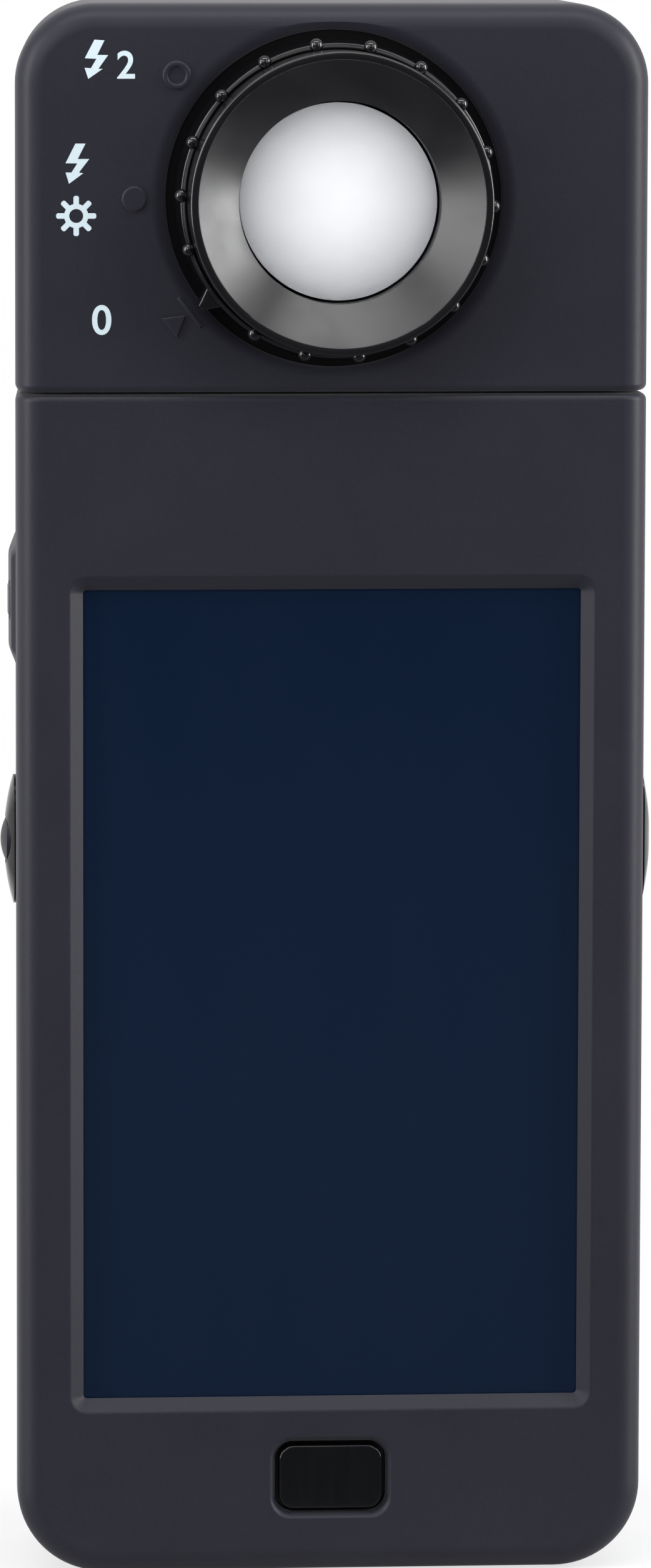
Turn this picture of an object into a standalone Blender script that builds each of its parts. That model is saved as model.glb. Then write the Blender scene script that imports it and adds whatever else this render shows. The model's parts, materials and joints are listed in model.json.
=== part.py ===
"""Handheld light spectrometer with a swivel head, a selector ring and a touch screen.

Metres. The instrument stands upright on its flat lower end. The origin is the middle of that
end, +Z runs up its length, the screen and the light receptor face -Y and +X is on the right
of somebody who reads the screen.
"""
import math

import bmesh
import bpy
from mathutils import Matrix, Vector

# Fits used all over the instrument
fit_gap = 0.0003
overrun = 0.001
weld = 0.000002
corner_steps = 4
fillet_steps = 3
round_steps = 12

# Layers from the window to the back, which add up to the depth of the case
window_lip = 0.0011
glass_thickness = 0.0011
display_thickness = 0.0034
board_thickness = 0.0012
tray_floor = 0.0010
battery_diameter = 0.0145
battery_headroom = 0.0010
rear_wall = 0.0022

# Outside of the case
window_width = 0.06094
window_height = 0.0979
side_margin = 0.00603
foot_margin = 0.01922
neck_margin = 0.02113
well_radius = 0.01995
well_margin_below = 0.00246
well_margin_above = 0.00239
seam_gap = 0.0003
parting_depth = 0.0046
side_draft = 0.0009
foot_corner = 0.010
crown_corner = 0.00925
front_fillet = 0.003
back_fillet = 0.006
seam_round = 0.0008
front_wall = 0.0020
side_wall = 0.0020
end_wall = 0.0020

body_depth = (window_lip + glass_thickness + display_thickness + board_thickness + tray_floor
              + battery_diameter + battery_headroom + rear_wall + 5 * fit_gap)
front = -body_depth / 2
back = body_depth / 2
front_inside = front + front_wall
back_inside = back - rear_wall
parting = front + parting_depth
half_width = window_width / 2 + side_margin
half_inside = half_width - side_wall
window_low = foot_margin
window_high = window_low + window_height
seam = window_high + neck_margin
receptor_z = seam + well_margin_below + well_radius
body_top = seam - seam_gap / 2
head_bottom = seam + seam_gap / 2
head_top = receptor_z + well_radius + well_margin_above
body_ceiling = body_top - end_wall
head_floor = head_bottom + end_wall
head_ceiling = head_top - end_wall

# Layers behind the window
glass_front = front + window_lip + fit_gap
glass_back = glass_front + glass_thickness
display_front = glass_back + fit_gap
display_back = display_front + display_thickness
board_front = display_back + fit_gap
board_back = board_front + board_thickness
tray_front = board_back + fit_gap
tray_floor_back = tray_front + tray_floor
battery_axis = tray_floor_back + fit_gap + battery_diameter / 2

# Selector ring and light receptor, heights counted out of the front face
well_depth = 0.0012
well_floor = 0.0018
well_backing = 0.0008
well_round = 0.0006
well_clearance = 0.00165
skirt_height = 0.0008
skirt_taper = 0.0003
ledge_height = 0.0052
ledge_width = 0.0007
rim_height = 0.013
rim_width = 0.00095
rim_round = 0.0003
mouth_slope = 0.00477
throat_height = 0.0095
skirt_radius = well_radius - well_clearance
ledge_radius = skirt_radius - skirt_taper
rim_radius = ledge_radius - ledge_width
mouth_radius = rim_radius - rim_width
throat_radius = mouth_radius - mouth_slope
sleeve_wall = 0.0013
knob_wall = 0.0010
knob_web = 0.0015
ring_step = 38.0
ring_segments = 48
clip_thickness = 0.0008
clip_width = 0.0017
clip_bite = 0.0006
disc_thickness = 0.0008
sleeve_outer = throat_radius + sleeve_wall
clip_front = -well_depth - well_floor - fit_gap
clip_back = clip_front - clip_thickness
sleeve_end = clip_back - knob_wall - fit_gap
clip_radius = sleeve_outer - clip_bite + fit_gap + clip_width

# Controls
button_travel = 0.0005
button_flange = 0.0008
flange_margin = 0.0007
switch_nib = 0.0006
nib_gap = 0.0001
switch_height = 0.0040
memory_drop = 0.0315
power_drop = 0.00352
home_drop = 0.00792
side_axis = board_back + fit_gap + switch_height / 2
memory_z = window_high - memory_drop
power_z = window_high - power_drop
home_z = window_low - home_drop


def side_at(y):
    """Half width of the case at depth y, where the drafted side wall lies."""
    share = (y - parting) / (back - back_fillet - parting)
    return half_width - side_draft * min(max(share, 0), 1)


def paint(item, colour, roughness, metallic=0.0):
    """Give one piece its own Principled material."""
    material = bpy.data.materials.new(item.name)
    material.use_nodes = True
    shader = material.node_tree.nodes["Principled BSDF"]
    shader.inputs["Base Color"].default_value = (*colour, 1)
    shader.inputs["Roughness"].default_value = roughness
    shader.inputs["Metallic"].default_value = metallic
    item.data.materials.clear()
    item.data.materials.append(material)
    return item


def solid(name, sheet):
    """Turn a bmesh into a closed object whose faces point out."""
    bmesh.ops.recalc_face_normals(sheet, faces=sheet.faces)
    mesh = bpy.data.meshes.new(name)
    sheet.to_mesh(mesh)
    sheet.free()
    mesh.shade_smooth()
    mesh.set_sharp_from_angle(angle=math.radians(30))
    item = bpy.data.objects.new(name, mesh)
    bpy.context.collection.objects.link(item)
    return item


def loft(name, outlines):
    """Skin a row of outlines that have the same number of points, and close both ends."""
    sheet = bmesh.new()
    rings = [[sheet.verts.new(point) for point in outline] for outline in outlines]
    for lower, upper in zip(rings, rings[1:]):
        for index in range(len(lower)):
            after = (index + 1) % len(lower)
            sheet.faces.new((lower[index], lower[after], upper[after], upper[index]))
    sheet.faces.new(rings[0])
    sheet.faces.new(rings[-1])
    return solid(name, sheet)


def prism(name, outline, reach):
    """Push a flat outline along the vector reach."""
    return loft(name, [outline, [point + reach for point in outline]])


def block(name, low, high):
    """Box between two opposite corners."""
    outline = [Vector((low[0], low[1], low[2])), Vector((high[0], low[1], low[2])),
               Vector((high[0], low[1], high[2])), Vector((low[0], low[1], high[2]))]
    return prism(name, outline, Vector((0, high[1] - low[1], 0)))


def turned(name, profile, centre, axis, steps=round_steps):
    """Turn a profile of (radius, height) pairs about an axis through centre.

    A profile that starts and ends on the axis closes there. Any other profile is a closed loop.
    """
    axis = Vector(axis).normalized()
    across = axis.orthogonal().normalized()
    beside = axis.cross(across)
    sheet = bmesh.new()
    rings = []
    for radius, height in profile:
        middle = Vector(centre) + axis * height
        if radius == 0:
            rings.append([sheet.verts.new(middle)])
            continue
        ring = []
        for index in range(steps):
            angle = 2 * math.pi * index / steps
            ring.append(sheet.verts.new(
                middle + radius * (across * math.cos(angle) + beside * math.sin(angle))))
        rings.append(ring)
    pairs = list(zip(rings, rings[1:]))
    if profile[0][0] > 0:
        pairs.append((rings[-1], rings[0]))
    for lower, upper in pairs:
        for index in range(steps):
            after = (index + 1) % steps
            corners = (lower[index % len(lower)], lower[after % len(lower)],
                       upper[after % len(upper)], upper[index % len(upper)])
            sheet.faces.new(list(dict.fromkeys(corners)))
    return solid(name, sheet)


def rod(name, radius, centre, axis, start, end, steps=round_steps):
    """Plain cylinder between two heights along an axis."""
    return turned(name, [(0, start), (radius, start), (radius, end), (0, end)], centre, axis, steps)


def combine(target, tool, operation):
    """Apply one exact Boolean, weld the slivers it leaves and drop the tool."""
    modifier = target.modifiers.new(tool.name, "BOOLEAN")
    modifier.operation = operation
    modifier.solver = "EXACT"
    modifier.object = tool
    with bpy.context.temp_override(object=target, active_object=target):
        bpy.ops.object.modifier_apply(modifier=modifier.name)
    bpy.data.objects.remove(tool)
    sheet = bmesh.new()
    sheet.from_mesh(target.data)
    bmesh.ops.remove_doubles(sheet, verts=sheet.verts, dist=weld)
    bmesh.ops.dissolve_degenerate(sheet, edges=sheet.edges, dist=weld)
    sheet.to_mesh(target.data)
    sheet.free()
    return target


def cut(target, *tools):
    """Take the tools out of the target."""
    for tool in tools:
        combine(target, tool, "DIFFERENCE")
    return target


def join(target, *tools):
    """Add the tools to the target as one body."""
    for tool in tools:
        combine(target, tool, "UNION")
    return target


def rounded(half_x, low, high, low_radius, high_radius, y):
    """Rounded rectangle in the plane at depth y, with its own radii below and above."""
    corners = ((1, -1, low_radius, -90), (1, 1, high_radius, 0),
               (-1, 1, high_radius, 90), (-1, -1, low_radius, 180))
    points = []
    for side, end, radius, start in corners:
        middle_x = side * (half_x - radius)
        middle_z = high - radius if end > 0 else low + radius
        for step in range(corner_steps + 1):
            angle = math.radians(start + 90 * step / corner_steps)
            points.append(Vector((middle_x + radius * math.cos(angle), y,
                                  middle_z + radius * math.sin(angle))))
    return points


def stadium(x, y, z, half_y, half_z):
    """Outline with rounded ends in the plane at x, longer along Z."""
    points = []
    for end, start in ((1, 0), (-1, 180)):
        for step in range(2 * corner_steps + 1):
            angle = math.radians(start + 90 * step / corner_steps)
            points.append(Vector((x, y + half_y * math.cos(angle),
                                  z + end * (half_z - half_y) + half_y * math.sin(angle))))
    return points


def case_level(part, y, side, end, near_seam):
    """Outline of the body or the head at depth y, drawn in from its sides and its ends."""
    if part == "body":
        return rounded(half_width - side, end, body_top - near_seam, foot_corner - end, seam_round, y)
    return rounded(half_width - side, head_bottom + near_seam, head_top - end, seam_round,
                   crown_corner - end, y)


def fillet_levels(part, face, turn, radius, side, end, near_seam):
    """Outlines of a rounded edge that starts on a face and ends where the side begins."""
    levels = []
    for step in range(fillet_steps + 1):
        angle = math.radians(90 * (1 - step / fillet_steps))
        depth = radius * (1 - math.sin(angle))
        inset = radius * (1 - math.cos(angle))
        dip = max(seam_round - depth, 0)
        seam_inset = seam_round - math.sqrt(seam_round ** 2 - dip ** 2)
        levels.append(case_level(part, face + turn * depth, side + inset, end + inset,
                                 near_seam + seam_inset))
    return levels


def front_shell(name, part):
    """Shallow front half of the body or the head, open behind."""
    edge = parting - fit_gap / 2
    levels = fillet_levels(part, front, 1, front_fillet, 0, 0, 0)
    levels.append(case_level(part, edge, 0, 0, 0))
    levels.append(case_level(part, edge, side_wall, end_wall, end_wall))
    levels.append(case_level(part, front_inside, side_wall, end_wall, end_wall))
    return loft(name, levels)


def rear_shell(name, part):
    """Deep rear half of the body or the head, open in front, with drafted sides."""
    edge = parting + fit_gap / 2
    inside_fillet = back_fillet - rear_wall
    levels = fillet_levels(part, back, -1, back_fillet, side_draft, 0, 0)
    levels.append(case_level(part, edge, 0, 0, 0))
    levels.append(case_level(part, edge, side_wall, end_wall, end_wall))
    inner = fillet_levels(part, back_inside, -1, inside_fillet, side_wall + side_draft, end_wall,
                          end_wall)
    levels.extend(reversed(inner))
    return loft(name, levels)


# Screws that hold the halves of the case together
screw_inset_x = 0.0075
screw_inset_z = 0.0065
screw_radius = 0.0010
screw_head_radius = 0.0019
screw_head_height = 0.0014
screw_length = 0.0100
boss_radius = 0.0030
boss_floor = 0.0012
screw_sink = 0.0100
body_screw_places = [(side * (half_width - screw_inset_x), z)
                     for z in (screw_inset_z + screw_head_radius, body_top - screw_inset_z)
                     for side in (-1, 1)]
head_screw_places = [(side * (half_width - screw_inset_x), z)
                     for z in (head_bottom + screw_inset_z, head_top - screw_inset_z)
                     for side in (-1, 1)]
screw_seat = back - screw_sink
boss_meet = screw_seat - boss_floor


def add_front_bosses(shell, places):
    """Pillars behind the front face that take the screw points."""
    for x, z in places:
        centre = (x, 0, z)
        join(shell, rod("boss", boss_radius, centre, (0, 1, 0), front_inside - front_wall / 2,
                        boss_meet - fit_gap))
        cut(shell, rod("pilot", screw_radius + fit_gap, centre, (0, 1, 0),
                       screw_seat - screw_length - fit_gap, boss_meet + overrun))
    return shell


def add_rear_bosses(shell, places):
    """Tubes inside the back that the screw heads sink into."""
    for x, z in places:
        centre = (x, 0, z)
        join(shell, rod("boss", boss_radius, centre, (0, 1, 0), boss_meet, back_inside + rear_wall / 2))
        cut(shell, rod("counterbore", screw_head_radius + fit_gap, centre, (0, 1, 0), screw_seat,
                       back + overrun),
            rod("clearance", screw_radius + fit_gap, centre, (0, 1, 0), boss_meet - overrun,
                screw_seat + overrun))
    return shell


def screws(name, places):
    """Pan-head screws, each standing fit_gap clear of its seat."""
    seat = screw_seat + fit_gap
    profile = [(0, seat - screw_length), (screw_radius, seat - screw_length), (screw_radius, seat),
               (screw_head_radius, seat), (screw_head_radius, seat + screw_head_height),
               (0, seat + screw_head_height)]
    return [turned(f"{name}_{number}", profile, (x, 0, z), (0, 1, 0), 12)
            for number, (x, z) in enumerate(places, 1)]


# Screen window, touch glass and display
chamfer_width = 0.00161
window_round = 0.0016
glass_margin = 0.0014
display_margin = 0.0006
display_tail = 0.0022


def window_outline(grow, y):
    """The window opening at depth y, grown on all sides."""
    return rounded(window_width / 2 + grow, window_low - grow, window_high + grow,
                   window_round + max(grow, 0), window_round + max(grow, 0), y)


def touch_glass():
    """Cover glass behind the window lip."""
    outline = window_outline(glass_margin - chamfer_width, glass_front)
    return prism("touch_glass", outline, Vector((0, glass_thickness, 0)))


def display_module():
    """Backlit display in its frame, which is longer at the foot, where its flex folds back."""
    grow = display_margin - chamfer_width
    half = window_width / 2 + grow
    return block("display_module", (-half, display_front, window_low - grow - display_tail),
                 (half, display_back, window_high + grow))


# Home button, in the foot of the front face
home_half_width = 0.00605
home_half_height = 0.00378
home_corner = 0.0017
home_chamfer = 0.0012
home_round = 0.0003
home_sink = 0.0002


def home_outline(grow, y):
    """Outline of the home button at depth y, grown on all sides."""
    return rounded(home_half_width + grow, home_z - home_half_height - grow,
                   home_z + home_half_height + grow, home_corner + grow, home_corner + grow, y)


def home_button():
    """Flanged cap that slides in the front wall and presses on the switch behind it."""
    face = front + home_sink
    flange = front_inside + fit_gap
    return loft("home_button", [home_outline(-home_round, face), home_outline(0, face + home_round),
                                home_outline(0, flange), home_outline(flange_margin, flange),
                                home_outline(flange_margin, flange + button_flange)])


def body_front_shell():
    """Front of the body with the window, the home button opening and four screw pillars."""
    shell = front_shell("body_front_shell", "body")
    chamfer = [window_outline(overrun, front - overrun * window_lip / chamfer_width),
               window_outline(-chamfer_width, front + window_lip),
               window_outline(-chamfer_width, front_inside + overrun)]
    pocket = prism("pocket", window_outline(glass_margin - chamfer_width + fit_gap, front + window_lip),
                   Vector((0, front_wall, 0)))
    cut(shell, loft("window", chamfer), pocket)
    opening = [home_outline(fit_gap + home_chamfer + overrun, front - overrun),
               home_outline(fit_gap, front + home_chamfer),
               home_outline(fit_gap, front_inside + overrun)]
    cut(shell, loft("opening", opening))
    return add_front_bosses(shell, body_screw_places)


# Battery bay, its tray, the batteries and the hinged cover
battery_length = 0.0505
battery_nub_length = 0.0013
battery_nub_radius = 0.0028
battery_spacing = 0.0006
contact_height = 0.0022
contact_plate = 0.0004
contact_radius = 0.0040
tray_wall = 0.0010
bay_drop = 0.05562
hinge_pin_radius = 0.00045
hinge_pin_bite = 0.0014
thumb_notch_radius = 0.0090
thumb_notch_depth = 0.0006
bay_half = battery_diameter + battery_spacing / 2 + fit_gap
bay_low = window_high - bay_drop
bay_high = bay_low + battery_length + contact_height + contact_plate + 4 * fit_gap
battery_x = (battery_diameter + battery_spacing) / 2
hinge_radius = rear_wall / 2
hinge_y = back - hinge_radius
hinge_z = bay_low + fit_gap + hinge_radius


def battery_tray():
    """Open box between the board and the back that holds the two cells side by side."""
    outer = bay_half + tray_wall
    tray = block("battery_tray", (-outer, tray_front, bay_low - tray_wall),
                 (outer, back_inside - fit_gap, bay_high + tray_wall))
    return cut(tray, block("bay", (-bay_half, tray_floor_back, bay_low),
                           (bay_half, back_inside + overrun, bay_high)))


def battery(name, x, upward):
    """One round cell with its raised positive end."""
    low = bay_low + fit_gap
    if upward:
        low += contact_height + fit_gap
    else:
        low += contact_plate + fit_gap
    body = battery_length - battery_nub_length
    radius = battery_diameter / 2
    profile = [(0, 0), (radius, 0), (radius, body), (battery_nub_radius, body),
               (battery_nub_radius, battery_length), (0, battery_length)]
    if upward:
        return turned(name, profile, (x, battery_axis, low), (0, 0, 1), 20)
    return turned(name, profile, (x, battery_axis, low + battery_length), (0, 0, -1), 20)


def contact_cone(name, x, z, turn):
    """Sprung cone that presses on the negative end of a cell."""
    profile = [(0, 0), (contact_radius, 0), (contact_radius, contact_plate),
               (battery_nub_radius, contact_height), (0, contact_height)]
    return turned(name, profile, (x, battery_axis, z), (0, 0, turn))


def contact_bridge():
    """Strip at the lower end of the bay that links the two cells, with a cone on the left."""
    low = bay_low + fit_gap
    strip = block("contact_bridge", (-battery_x, battery_axis - contact_radius, low),
                  (battery_x + contact_radius, battery_axis + contact_radius, low + contact_plate))
    return join(strip, contact_cone("cone", -battery_x, low, 1))


def contact_button():
    """Plate on the positive end of the left cell."""
    return rod("contact_button", contact_radius, (-battery_x, battery_axis, bay_high), (0, 0, -1),
               fit_gap, fit_gap + contact_plate)


def battery_cover():
    """Door over the bay that swings about two pins in its rounded lower edge."""
    half = bay_half - fit_gap
    high = bay_high - fit_gap
    outline = [Vector((-half, back, high)), Vector((-half, back_inside, high))]
    for step in range(2 * corner_steps + 1):
        angle = math.radians(180 + 90 * step / corner_steps)
        outline.append(Vector((-half, hinge_y + hinge_radius * math.cos(angle),
                               hinge_z + hinge_radius * math.sin(angle))))
    cover = prism("battery_cover", outline, Vector((2 * half, 0, 0)))
    pin_reach = half + hinge_pin_bite
    join(cover, rod("pins", hinge_pin_radius, (0, hinge_y, hinge_z), (1, 0, 0), -pin_reach, pin_reach, 8))
    notch_y = back + thumb_notch_radius - thumb_notch_depth
    notch = turned("notch", [(0, -thumb_notch_radius), (thumb_notch_radius, 0), (0, thumb_notch_radius)],
                   (0, notch_y, high - thumb_notch_radius / 2), (0, 1, 0), 20)
    return cut(cover, notch)


# Side controls: power and memory on the left, measure on the right
power_half_height = 0.00188
power_half_depth = 0.0025
power_corner = 0.0007
power_proud = 0.00015
plateau_half_height = 0.0056
plateau_ramp = 0.0020
plateau_half_depth = 0.0036
plateau_proud = 0.0008
measure_half_height = 0.00745
measure_half_depth = 0.0036
measure_bulge = 0.00177
measure_rim = 0.0009
bezel_half_height = 0.00755
bezel_half_depth = 0.0036
bezel_bulge = 0.00125
bezel_rim = 0.0003
memory_radius = 0.0026
memory_proud = 0.00065
stem_radius = 0.0012
dome_shares = (1.0, 0.85, 0.62, 0.34, 0.08)


def pad_level(x, half_depth, half_height):
    """Outline of a side control at x, centred on the switch axis at the memory height."""
    return stadium(x, side_axis, memory_z, half_depth, half_height)


def lens_levels(side, base, bulge, half_depth, half_height):
    """Outlines of a lens-shaped bulge that rises from base."""
    return [pad_level(side * (base + bulge * (1 - share ** 2)), half_depth * share, half_height * share)
            for share in dome_shares]


def switch_face(stand):
    """Half width that lies a gap called stand inside a fully pressed side button."""
    return half_inside - side_draft - fit_gap - button_flange - button_travel - stand


def measure_button():
    """Large lens-shaped key on the right side."""
    skin = side_at(side_axis)
    flange_out = half_inside - side_draft - fit_gap
    flange_in = flange_out - button_flange
    wide = (measure_half_depth + flange_margin, measure_half_height + flange_margin)
    levels = [pad_level(flange_in, *wide), pad_level(flange_out, *wide),
              pad_level(flange_out, measure_half_depth, measure_half_height)]
    levels += lens_levels(1, skin + measure_rim, measure_bulge - measure_rim, measure_half_depth,
                          measure_half_height)
    return loft("measure_button", levels)


def memory_bezel():
    """Glossy lens-shaped surround set into the left side, with a bore for its key."""
    skin = side_at(side_axis)
    seat = half_inside - side_draft + fit_gap
    levels = [pad_level(-seat, bezel_half_depth, bezel_half_height)]
    levels += lens_levels(-1, skin + bezel_rim, bezel_bulge - bezel_rim, bezel_half_depth,
                          bezel_half_height)
    item = loft("memory_bezel", levels)
    return cut(item, rod("bore", memory_radius + fit_gap, (0, side_axis, memory_z), (-1, 0, 0),
                         seat - overrun, skin + bezel_bulge + overrun))


def memory_button():
    """Small domed key in the bezel."""
    skin = side_at(side_axis)
    top = skin + bezel_bulge + memory_proud
    flange_out = half_inside - side_draft - fit_gap
    flange_in = flange_out - button_flange
    flange_radius = memory_radius + flange_margin
    profile = [(0, flange_in), (flange_radius, flange_in), (flange_radius, flange_out),
               (memory_radius, flange_out)]
    profile += [(memory_radius * share, top - memory_proud * share ** 2) for share in dome_shares]
    profile.append((0, top))
    return turned("memory_button", profile, (0, side_axis, memory_z), (-1, 0, 0))


def power_outline(x, grow):
    """Outline of the power key in the plane at x."""
    flat = rounded(power_half_depth + grow, power_z - power_half_height - grow,
                   power_z + power_half_height + grow, power_corner, power_corner, 0)
    return [Vector((x, side_axis + point.x, point.z)) for point in flat]


def power_button():
    """Low key, nearly flush with the pad it stands in."""
    skin = side_at(side_axis) + plateau_proud
    flange_out = half_inside - side_draft - fit_gap
    flange_in = flange_out - button_flange
    levels = [power_outline(-flange_in, flange_margin), power_outline(-flange_out, flange_margin),
              power_outline(-flange_out, 0), power_outline(-skin, 0),
              power_outline(-skin - power_proud, -power_proud)]
    return loft("power_button", levels)


def side_switch(name, side, z):
    """Side-pushed switch on the edge of the board, with its nib."""
    nib_end = switch_face(nib_gap)
    body_end = nib_end - switch_nib
    body = block(name, (side * (body_end - switch_height), board_back + fit_gap, z - switch_height / 2),
                 (side * body_end, board_back + fit_gap + switch_height, z + switch_height / 2))
    nib = rod("nib", stem_radius, (0, side_axis, z), (side, 0, 0), body_end - overrun, nib_end, 10)
    return join(body, nib)


def home_switch():
    """Front-pushed switch between the board and the home button."""
    seat = board_front - fit_gap
    nib_end = front_inside + fit_gap + button_flange + button_travel + nib_gap
    low = nib_end + switch_nib
    body = block("home_switch", (-switch_height / 2, low, home_z - switch_height / 2),
                 (switch_height / 2, seat, home_z + switch_height / 2))
    return join(body, rod("nib", stem_radius, (0, 0, home_z), (0, 1, 0), nib_end, (low + seat) / 2, 10))


# Ports on the right side and their caps
usb_z = 0.0300
usb_half_width = 0.0038
usb_half_depth = 0.0015
usb_length = 0.0090
socket_wall = 0.0005
usb_cap_half_height = 0.0062
usb_cap_half_depth = 0.0036
cap_thickness = 0.0018
sync_radius = 0.0026
sync_bore = 0.0016
sync_length = 0.0080
sync_cap_radius = 0.0036
sync_cap_pin = 0.0011
sync_axis = board_back + fit_gap + sync_radius


def port_face():
    """Half width where the ports end, just inside the caps."""
    return side_at(side_axis) - cap_thickness - 2 * fit_gap


def usb_socket():
    """Sheet-metal socket on the board, open to the right."""
    face = port_face()
    outer_y = usb_half_depth + socket_wall
    outer_z = usb_half_width + socket_wall
    shell = block("usb_socket", (face - usb_length, side_axis - outer_y, usb_z - outer_z),
                  (face, side_axis + outer_y, usb_z + outer_z))
    return cut(shell, block("mouth", (face - usb_length + socket_wall, side_axis - usb_half_depth,
                                      usb_z - usb_half_width),
                            (face + overrun, side_axis + usb_half_depth, usb_z + usb_half_width)))


def usb_cap():
    """Soft flap flush with the side, which folds down about its rounded lower edge."""
    skin = side_at(side_axis)
    radius = cap_thickness / 2
    high = usb_z + usb_cap_half_height
    low = usb_z - usb_cap_half_height
    outline = [Vector((skin, 0, high)), Vector((skin - cap_thickness, 0, high))]
    for step in range(2 * corner_steps + 1):
        angle = math.radians(180 + 90 * step / corner_steps)
        outline.append(Vector((skin - radius + radius * math.cos(angle), 0,
                               low + radius + radius * math.sin(angle))))
    for point in outline:
        point.y = side_axis - usb_cap_half_depth
    return prism("usb_cap", outline, Vector((0, 2 * usb_cap_half_depth, 0)))


def sync_socket():
    """Brass coaxial terminal."""
    face = port_face()
    centre = (0, sync_axis, power_z)
    item = rod("sync_socket", sync_radius, centre, (1, 0, 0), face - sync_length, face)
    return cut(item, rod("bore", sync_bore, centre, (1, 0, 0), face - sync_length + socket_wall,
                         face + overrun))


def sync_cap():
    """Push-in cap over the terminal."""
    skin = side_at(sync_axis)
    inner = skin - cap_thickness
    pin_end = inner - sync_length / 2
    return turned("sync_cap", [(0, pin_end), (sync_cap_pin, pin_end), (sync_cap_pin, inner),
                               (sync_cap_radius, inner), (sync_cap_radius, skin), (0, skin)],
                  (0, sync_axis, power_z), (1, 0, 0))


# Tripod bush and strap bar in the lower part of the back
tripod_z = 0.0260
tripod_thread_radius = 0.003175
tripod_radius = 0.0050
tripod_length = 0.0085
tripod_depth = 0.0065
strap_z = 0.0250
strap_pin_radius = 0.0008
strap_half_length = 0.0035
strap_notch_radius = 0.0042
strap_bar_bite = 0.0012
strap_bar_radius = 0.0048


def tripod_bush():
    """Metal bush with the camera-screw hole, flush with the back."""
    start = back - tripod_length
    bush = rod("tripod_bush", tripod_radius, (0, 0, tripod_z), (0, 1, 0), start, back, 24)
    return cut(bush, rod("hole", tripod_thread_radius, (0, 0, tripod_z), (0, 1, 0),
                         back - tripod_depth, back + overrun, 24))


# Swivel between the body and the head
swivel_segments = 20
neck_radius = 0.0050
neck_bore = 0.0028
neck_flange_radius = 0.0080
neck_flange = 0.0014
bush_wall = 0.0016
bush_flange_radius = 0.0082
bush_flange = 0.0010
washer_thickness = 0.0006
swivel_clip_thickness = 0.0008
swivel_clip_radius = 0.0078
swivel_clip_mouth = 32.0
neck_groove = 0.0006
neck_lip = 0.0008
neck_flat = 0.0040
stop_thickness = 0.0012
stop_radius = 0.0078
stop_reach = 0.0094
stop_half_angle = 9.0
lug_inner = 0.0088
lug_outer = 0.0104
lug_centre = 90.0
lug_half_angle = 32.0
swivel_low = -90.0
swivel_high = 180.0
cable_radius = 0.0012
bush_flange_top = body_ceiling - fit_gap
washer_top = bush_flange_top - bush_flange - fit_gap
stop_top = washer_top - washer_thickness - fit_gap
stop_low = stop_top - stop_thickness
swivel_clip_top = stop_low - fit_gap
swivel_clip_low = swivel_clip_top - swivel_clip_thickness
neck_end = swivel_clip_low - fit_gap / 2 - neck_lip
stop_rest = lug_centre - (swivel_low + swivel_high + 360) / 2


def arc_prism(name, inner, outer, middle, half_angle, low, high):
    """Sector of a ring about the swivel axis, given by its middle angle in degrees."""
    outline = []
    for radius, turn in ((outer, 1), (inner, -1)):
        for step in range(corner_steps + 1):
            angle = math.radians(middle + turn * half_angle * (2 * step / corner_steps - 1))
            outline.append(Vector((radius * math.cos(angle), radius * math.sin(angle), low)))
    return prism(name, outline, Vector((0, 0, high - low)))


def swivel_neck():
    """Hollow steel pivot with a flange in the head and a flat for the stop washer in the body."""
    flange_low = head_floor + fit_gap
    groove_radius = neck_radius - neck_groove
    groove_low = swivel_clip_low - fit_gap / 2
    groove_top = swivel_clip_top + fit_gap / 2
    profile = [(neck_bore, neck_end), (neck_radius, neck_end), (neck_radius, groove_low),
               (groove_radius, groove_low), (groove_radius, groove_top), (neck_radius, groove_top),
               (neck_radius, flange_low), (neck_flange_radius, flange_low),
               (neck_flange_radius, flange_low + neck_flange), (neck_bore, flange_low + neck_flange)]
    neck = turned("swivel_neck", profile, (0, 0, 0), (0, 0, 1), swivel_segments)
    return cut(neck, block("flat", (neck_flat, -neck_radius, neck_end - overrun),
                           (neck_radius + overrun, neck_radius, stop_top)))


def swivel_stop():
    """Steel washer keyed on the neck's flat, with the tab that meets the lug of the rear shell."""
    washer = rod("swivel_stop", stop_radius, (0, 0, 0), (0, 0, 1), stop_low, stop_top, swivel_segments)
    join(washer, arc_prism("tab", neck_radius + 2 * fit_gap, stop_reach, stop_rest, stop_half_angle,
                           stop_low, stop_top))
    bore = rod("bore", neck_radius + fit_gap, (0, 0, 0), (0, 0, 1), stop_low - overrun, stop_top + overrun,
               swivel_segments)
    cut(bore, block("key", (neck_flat + fit_gap, -2 * neck_radius, stop_low - 2 * overrun),
                    (2 * neck_radius, 2 * neck_radius, stop_top + 2 * overrun)))
    return cut(washer, bore)


def swivel_bush():
    """Flanged plastic bearing in the top wall of the body."""
    inner = neck_radius + fit_gap
    outer = inner + bush_wall
    flange_low = bush_flange_top - bush_flange
    return turned("swivel_bush", [(inner, flange_low), (bush_flange_radius, flange_low),
                                  (bush_flange_radius, bush_flange_top), (outer, bush_flange_top),
                                  (outer, body_top), (inner, body_top)],
                  (0, 0, 0), (0, 0, 1), swivel_segments)


def swivel_washer():
    """Friction washer under the bush."""
    inner = neck_radius + fit_gap
    low = washer_top - washer_thickness
    return turned("swivel_washer", [(inner, low), (bush_flange_radius, low),
                                    (bush_flange_radius, washer_top), (inner, washer_top)],
                  (0, 0, 0), (0, 0, 1), swivel_segments)


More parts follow.
